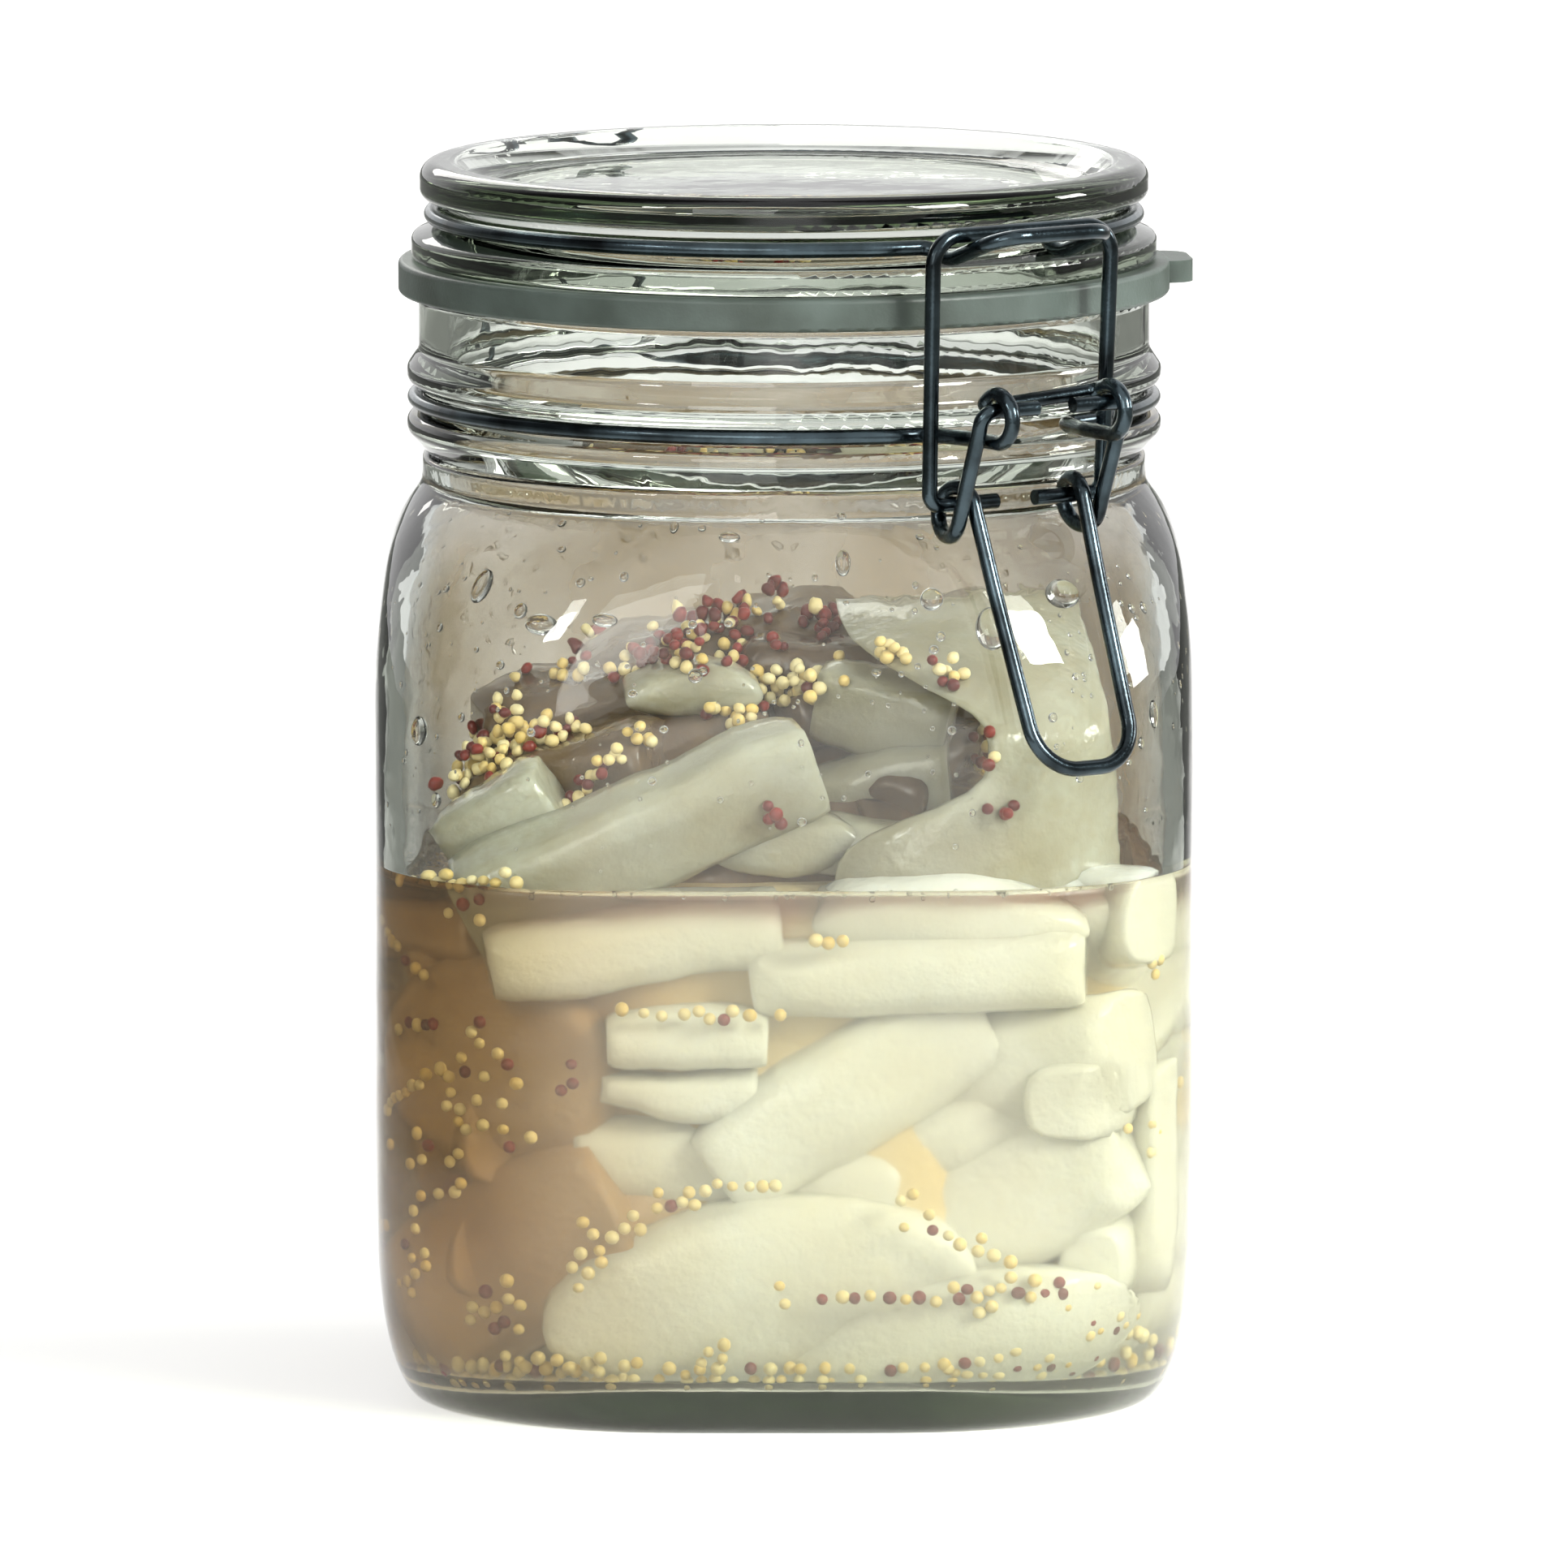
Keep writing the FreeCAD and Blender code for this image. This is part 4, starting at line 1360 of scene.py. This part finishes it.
@dataclass
class MustardSeeds:
    """Yellow and dark red mustard seeds, in the brine and on the slices."""

    cavity: Cavity
    slices: Sequence[Piece]
    diameter: float = 1.75

    def clusters(self) -> list[Cluster]:
        """The patches at the front."""
        return [Cluster(*row) for row in (
            (1.5, 92.5, 3.8, 1.9, 40, 0.05, 0, True), (-9, 99.5, 7.0, 1.5, 34, 0.72, 14, True),
            (5, 100, 1.8, 2.0, 10, 0.85, 0, True), (-6.5, 89, 3.6, 1.2, 11, 0.35, 10, True),
            (-14, 95, 5.0, 1.0, 14, 0.5, 0, True), (-24, 81, 6.0, 1.0, 17, 0.3, 38, True),
            (-38, 85, 4.6, 3.4, 34, 0.35, 30, True), (-42, 79, 2.6, 2.2, 12, 0.3, 0, True),
            (25.5, 84, 1.4, 3.0, 10, 0.4, 0, True), (28, 76, 1.4, 0.9, 4, 0.75, 0, True),
            (21, 93, 2.2, 1.0, 7, 0.2, -20, True), (14, 95.5, 1.8, 0.8, 6, 0.1, 0, True),
            (-1, 76, 2.0, 1.0, 3, 0.6, 0, True), (-39, 72.4, 6.0, 0.9, 26, 0.12, 8),
            (-41, 69, 3.0, 1.8, 7, 0.2), (7, 65, 2.6, 0.7, 5, 0.0),
            (-12, 55.8, 8.6, 0.5, 12, 0.1), (-40.5, 50, 3.6, 5.0, 10, 0.2),
            (-39, 41, 4.0, 5.0, 9, 0.15), (-28, 47, 1.6, 2.6, 4, 0.5),
            (-44, 33, 3.4, 4.0, 6, 0.2), (-25.5, 22.5, 1.8, 3.2, 17, 0.05),
            (-20.5, 27.6, 3.4, 1.3, 18, 0.15, 35), (-13, 31.2, 3.6, 1.1, 13, 0.2, 18),
            (-4, 33, 4.0, 0.6, 8, 0.15), (8, 18.4, 8.0, 0.8, 11, 0.25),
            (27, 18.4, 10.0, 1.2, 40, 0.2), (27, 23.4, 3.6, 1.7, 15, 0.2, -20),
            (18, 30, 4.0, 2.4, 4, 0.5), (-47, 22, 1.6, 6.0, 12, 0.15),
            (-37, 16, 3.4, 3.6, 14, 0.15), (-8.5, 10, 2.0, 1.8, 6, 0.0),
            (46, 40, 3.0, 6.0, 3, 0.0), (-32, 8.6, 12.0, 1.3, 46, 0.16),
            (30, 8.8, 14.0, 1.4, 44, 0.14),)]

    def round_clusters(self, chance: random.Random) -> list[Cluster]:
        """Patches at the other three sides."""
        found = []
        for facing in (90.0, 180.0, 270.0):
            for _ in range(13):
                found.append(Cluster(chance.uniform(-38, 38), chance.uniform(10, 66),
                                     chance.uniform(1.5, 9), chance.uniform(0.5, 2.2),
                                     chance.randint(4, 15), 0.2, chance.uniform(-30, 30),
                                     False, facing))
            for _ in range(6):
                found.append(Cluster(chance.uniform(-26, 26), chance.uniform(78, 98), 4.0, 2.2,
                                     chance.randint(8, 22), 0.35, 0.0, True, facing))
        return found

    def _on_slices(self, across: float, height: float, facing: float, radius: float
                   ) -> tuple[Vector, Vector] | None:
        """Where a seed comes to rest on the slices, seen from one side."""
        turn = Matrix.Rotation(math.radians(facing), 3, "Z")
        start = turn @ Vector((across * MM, -0.048, height * MM + 0.0063))
        aim = turn @ Vector((0.0, 1.0, -0.131)).normalized()
        best = None
        for tree in self.trees:
            hit, normal, _, gone = tree.ray_cast(start, aim)
            if hit is not None and (best is None or gone < best[2]):
                best = (hit, normal if normal.dot(aim) < 0 else -normal, gone)
        if best is None or best[0].xy.length > 0.05 or best[0].z < 0.0712:
            return None
        return best[0] + best[1] * radius * 0.8, best[1]

    def build(self, effects: Effects) -> list[Piece]:
        """Builds and dresses the seeds.

        Args:
            effects: The shared effects.

        Returns:
            The yellow piece and the red piece.
        """
        chance = random.Random(1207)
        self.trees = []
        for piece in self.slices:
            self.trees.append(mesh_tree(piece.data))
        taken: list[Vector] = []
        kinds: dict[bool, list[Spot]] = {False: [], True: []}
        radius = self.diameter * MM / 2.0

        def settle(at: Vector, out: Vector, red: bool) -> bool:
            """Keeps a seed that has room, and says whether it had."""
            if any((at - other).length < self.diameter * MM * 0.86 for other in taken[-700:]):
                return False
            taken.append(at)
            kinds[red].append(Spot(at, out, chance.uniform(0.86, 1.1), chance.random(),
                                   chance.uniform(0.9, 1.06)))
            return True

        for one in [*self.clusters(), *self.round_clusters(chance)]:
            for _ in range(round(one.count * 1.7)):
                side = max(-1.9, min(1.9, chance.gauss(0, 0.62)))
                rise = max(-1.9, min(1.9, chance.gauss(0, 0.62)))
                across = one.across + side * one.wide
                lift = side * one.wide * math.tan(math.radians(one.slope))
                height = one.height + rise * one.tall + lift
                red = chance.random() < one.red
                if one.on_slices:
                    found = self._on_slices(across, height, one.facing, radius)
                    if found is None:
                        continue
                    for layer in range(3):
                        if settle(found[0] + found[1] * layer * radius * 1.4, found[1], red):
                            break
                else:
                    at, out = self.cavity.wall(across * MM, max(height, 7.6) * MM, one.facing)
                    inward = chance.uniform(1.02, 1.25) * radius
                    settle(self.cavity.keep(at - out * inward, radius * 1.1), out, red)
        for _ in range(420):
            angle = chance.uniform(0, math.tau)
            height = self.cavity.floor + radius * chance.choice((1.1, 1.3, 3.0))
            out = self.cavity.reach(angle, height + 0.0006) - radius * chance.uniform(1.4, 3.4)
            at = self.cavity.keep(round_point(angle, out, height), radius * 1.1)
            settle(at, Vector((0, 0, 1)), chance.random() < 0.14)
        yellow = SeedFinish("mustard_yellow", linear(238, 202, 112), linear(254, 238, 186))
        dark_red = SeedFinish("mustard_red", linear(146, 32, 20), linear(92, 22, 22))
        scatter = Scatter("seed_scatter")
        return [scatter.piece(name, kinds[red], "jar", "pickle", skin.material(effects),
                              Diameter=self.diameter * MM, Flatness=0.92, Size_Spread=0.05,
                              Detail=2, Seed=seed)
                for name, red, skin, seed in (("yellow_mustard_seeds", False, yellow, 3),
                                              ("red_mustard_seeds", True, dark_red, 5))]


@dataclass
class Condensation:
    """Water beads on the inside of the wall above the brine, and bubbles at its edge."""

    cavity: Cavity

    def beads(self) -> list[tuple[float, float, float, float]]:
        """The large ones at the front: across, height, diameter and tallness."""
        return [(-38.5, 109.5, 3.0, 1.5), (-33.6, 107.2, 2.0, 1.1), (-31, 105.8, 4.2, 0.62),
                (-23, 106.8, 3.0, 0.55), (-7, 117, 2.6, 0.55), (-14, 118, 1.1, 2.0),
                (7.6, 114, 1.9, 1.75), (19, 109.5, 3.2, 0.95), (26.6, 105.6, 4.0, 1.3),
                (35.5, 109, 5.0, 0.75), (-46, 91, 3.0, 1.2), (46.5, 93, 1.8, 2.0),
                (-11.5, 100, 2.0, 1.0), (-44, 82.5, 1.6, 1.2), (-26, 111, 1.2, 1.0),
                (12, 100.4, 1.3, 0.8)]

    def mist(self, effects: Effects) -> Piece:
        """Builds the film of mist, a thin closed shell just inside the wall."""
        around, low, high, rows = 96, 71.6, 126.0, 30
        points = []
        for inset in (0.10, 0.16):
            for row in range(rows):
                z = (low + (high - low) * row / (rows - 1)) * MM
                for step in range(around):
                    angle = math.tau * step / around
                    points.append(round_point(angle, self.cavity.reach(angle, z) - inset * MM, z))
        faces = lathe_faces(rows, around)
        faces += [tuple(reversed(face)) for face in lathe_faces(rows, around, rows * around)]
        for row, flip in ((0, False), (rows - 1, True)):
            for step in range(around):
                near, far = row * around + step, row * around + (step + 1) % around
                face = (near, near + rows * around, far + rows * around, far)
                faces.append(tuple(reversed(face)) if flip else face)
        mist = MistFinish().material(effects)
        return mesh_piece("wall_mist", points, faces, "jar", "glass", [mist])

    def build(self, effects: Effects) -> list[Piece]:
        """Builds and dresses the mist and the beads.

        Args:
            effects: The shared effects.

        Returns:
            The pieces.
        """
        chance = random.Random(88)
        large, spots = [], []
        for across, height, size, tall in self.beads():
            at, out = self.cavity.wall(across * MM, height * MM)
            large.append(Spot(at, out, size, 0.0, tall))
        for _ in range(620):
            facing = chance.choice((0.0, 90.0, 180.0, 270.0))
            across, height = chance.uniform(-46, 46), chance.triangular(74, 121, 100)
            at, out = self.cavity.wall(across * MM, height * MM, facing)
            spots.append(Spot(at, out, chance.choice((0.35, 0.45, 0.6, 0.8, 1.2)), 0.0,
                              chance.uniform(0.8, 1.3)))
        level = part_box("brine")[1].z
        for _ in range(150):
            angle, height = chance.uniform(0, math.tau), level + chance.uniform(0.0, 1.0) * MM
            out = self.cavity.reach(angle, height) - chance.uniform(0.3, 1.2) * MM
            aim = round_point(angle, 1.0, 0.0)
            spots.append(Spot(aim * out + Vector((0, 0, height)), aim,
                              chance.choice((0.4, 0.55, 0.8)), 0.0, 1.0))
        water = DropFinish().material()
        scatter = Scatter("bead_scatter")
        return [scatter.piece(name, some, "jar", "glass", water, Diameter=1.0 * MM, Flatness=0.42,
                              Size_Spread=0.1, Detail=detail, Seed=11)
                for name, some, detail in (("water_beads", spots, 2), ("water_drops", large, 4))
                ] + [self.mist(effects)]


# ---- frame pieces ------------------------------------------------------------------
@dataclass
class JarFrame:
    """Dresses the glass, the wires and the seal that come with the frame."""

    glass: GlassFinish = field(default_factory=GlassFinish)
    steel: SteelFinish = field(default_factory=SteelFinish)
    rubber: RubberFinish = field(default_factory=RubberFinish)
    wires: tuple[str, ...] = ("neck_wire", "lid_wire", "lever_wire", "bail_wire")

    def dress(self, effects: Effects) -> None:
        """Gives each node its finish.

        Args:
            effects: The shared effects.
        """
        glass = self.glass.material(effects)
        steel = self.steel.material(effects)
        rubber = self.rubber.material(effects)
        for node, material in (("jar_glass", glass), ("lid_glass", glass), ("rubber_ring", rubber),
                               *((wire, steel) for wire in self.wires)):
            piece = frame["nodes"][node]
            piece.data.materials.clear()
            piece.data.materials.append(material)
            log.info("dressed %s", node)


# ---- studio --------------------------------------------------------------------------
@dataclass
class Studio:
    """Pale floor, soft lamps, bright surroundings and the camera."""

    distance: float = 3.0
    eye_height: float = 0.476
    aim_height: float = 0.0792
    lens: float = 526.0
    floor_size: float = 24.0
    floor_glow: float = 0.60

    def floor(self) -> None:
        """A pale floor that shows white and keeps the shadow, dark at both sides to the glass."""
        half = self.floor_size / 2.0
        mesh = bpy.data.meshes.new("floor")
        corners = [(-half, -half, 0), (half, -half, 0), (half, half, 0), (-half, half, 0)]
        mesh.from_pydata(corners, [], [(0, 1, 2, 3)])
        shade = Shade("pale_floor")
        diffuse = shade.node("ShaderNodeBsdfDiffuse")
        diffuse.inputs["Color"].default_value = rgba((0.86, 0.86, 0.85))
        path = shade.node("ShaderNodeLightPath").outputs
        bends = shade.calc("MAXIMUM", path["Is Glossy Ray"], path["Is Transmission Ray"])
        seen = shade.calc("MAXIMUM", path["Is Camera Ray"], bends)
        glow = shade.node("ShaderNodeEmission")
        shade.join(shade.calc("MULTIPLY", seen, self.floor_glow), glow.inputs["Strength"])
        both = shade.node("ShaderNodeAddShader")
        shade.join(diffuse.outputs["BSDF"], both.inputs[0])
        shade.join(glow.outputs["Emission"], both.inputs[1])
        beside = shade.span(shade.calc("ABSOLUTE", shade.along("X")), 0.10, 0.34, 0.0, 0.85)
        dark = shade.node("ShaderNodeEmission")
        dark.inputs["Color"].default_value = rgba((0.10, 0.11, 0.09))
        mixed = shade.mix(shade.calc("MULTIPLY", beside, bends), both.outputs["Shader"],
                          dark.outputs["Emission"])
        shade.join(mixed, shade.output.inputs["Surface"])
        mesh.materials.append(shade.material)
        shown("floor", mesh)

    def world(self) -> None:
        """White to the eye, a soft lamp weakest from the left, dark at both sides to the glass."""
        made = bpy.data.worlds.new("surroundings")
        bpy.context.scene.world = made
        made.use_nodes = True
        made.node_tree.nodes.clear()
        sky = Nodes(made.node_tree)
        split = sky.node("ShaderNodeSeparateXYZ")
        sky.join(sky.node("ShaderNodeTexCoord").outputs["Generated"], split.inputs[0])
        right = split.outputs["X"]
        turn = sky.calc("ARCTAN2", split.outputs["Y"], right)
        lobes = sky.calc("COSINE", sky.calc("MULTIPLY", turn, 2.0))
        dark = sky.calc("MAXIMUM", sky.calc("ADD", lobes, 0.15), 0.0)
        depth = sky.calc("SUBTRACT", 0.82, sky.calc("MULTIPLY", right, 0.16))
        left_over = sky.calc("SUBTRACT", 1.0, sky.calc("MULTIPLY", dark, depth))
        show = sky.calc("MAXIMUM", left_over, 0.10)
        path = sky.node("ShaderNodeLightPath").outputs
        bends = sky.calc("MAXIMUM", path["Is Glossy Ray"], path["Is Transmission Ray"])
        other = sky.calc("SUBTRACT", 1.0, sky.calc("MAXIMUM", bends, path["Is Camera Ray"]))
        glow = sky.calc("ADD", sky.calc("MULTIPLY", right, 0.24), 0.34)
        seen = sky.calc("ADD", path["Is Camera Ray"], sky.calc("MULTIPLY", bends, show))
        background = sky.node("ShaderNodeBackground")
        background.inputs["Color"].default_value = (1.0, 1.0, 1.0, 1.0)
        total = sky.calc("ADD", seen, sky.calc("MULTIPLY", other, glow))
        sky.join(total, background.inputs["Strength"])
        made.cycles.sampling_method = "NONE"
        output = sky.node("ShaderNodeOutputWorld")
        sky.join(background.outputs["Background"], output.inputs["Surface"])

    def lamp(self, name: str, at: Point, size: float, power: float, tone: Tone) -> None:
        """A square soft lamp that looks at the jar.

        Args:
            name: Its name.
            at: Its place in metres.
            size: Its side in metres.
            power: Its power in watts.
            tone: Its colour.
        """
        data = bpy.data.lights.new(name, "AREA")
        data.size = size
        data.energy = power
        data.color = tone
        lamp = shown(name, data)
        lamp.location = at
        aim = Vector((0.0, 0.0, 0.08)) - Vector(at)
        lamp.rotation_euler = aim.to_track_quat("-Z", "Y").to_euler()

    def camera(self) -> None:
        """The camera in front of the jar, a little above it."""
        data = bpy.data.cameras.new("camera")
        data.lens = self.lens
        data.sensor_width = 36.0
        data.clip_start, data.clip_end = 0.1, 40.0
        eye = shown("camera", data)
        eye.location = (0.0, -self.distance, self.eye_height)
        aim = Vector((0.0, 0.0, self.aim_height)) - Vector(eye.location)
        eye.rotation_euler = aim.to_track_quat("-Z", "Y").to_euler()
        bpy.context.scene.camera = eye

    def build(self) -> None:
        """Sets up everything round the jar."""
        self.floor()
        self.world()
        self.lamp("key", (1.55, -1.15, 1.05), 0.6, 41.0, (1.0, 0.985, 0.95))
        self.lamp("side", (1.7, 0.4, 0.5), 0.4, 8.0, (1.0, 0.99, 0.97))
        self.lamp("fill", (-0.6, -2.1, 0.7), 1.0, 9.0, (1.0, 0.99, 0.96))
        self.lamp("window", (-1.5, -1.5, 1.25), 0.28, 5.0, (1.0, 0.99, 0.97))
        self.lamp("back", (-0.5, 2.0, 1.1), 0.9, 8.0, (1.0, 0.98, 0.94))
        self.camera()
        scene = bpy.context.scene
        scene.view_settings.view_transform = "Standard"
        scene.cycles.max_bounces = 8
        scene.cycles.diffuse_bounces = 2
        scene.cycles.glossy_bounces = 3
        scene.cycles.transmission_bounces = 8
        scene.cycles.transparent_max_bounces = 8
        scene.cycles.caustics_reflective = False
        scene.cycles.use_light_tree = False


def main() -> None:
    """Builds the jar's looks, piece by piece."""
    logging.basicConfig(level=logging.INFO, format="%(name)s: %(message)s")
    effects = Effects()
    JarFrame().dress(effects)
    cavity = Cavity()
    log.info("cavity floor %.2f mm", cavity.floor / MM)
    log.info("built %s", Brine(cavity).build(BrineFinish(), effects).name)
    slices = SlicedTurnip(cavity).build(effects)
    for piece in slices:
        log.info("built %s with %d faces", piece.name, len(piece.data.polygons))
    for piece in MustardSeeds(cavity, slices).build(effects):
        log.info("built %s with %d faces", piece.name, len(piece.data.polygons))
    for piece in Condensation(cavity).build(effects):
        log.info("built %s with %d faces", piece.name, len(piece.data.polygons))
    Studio().build()


if __name__ == "__main__":
    main()
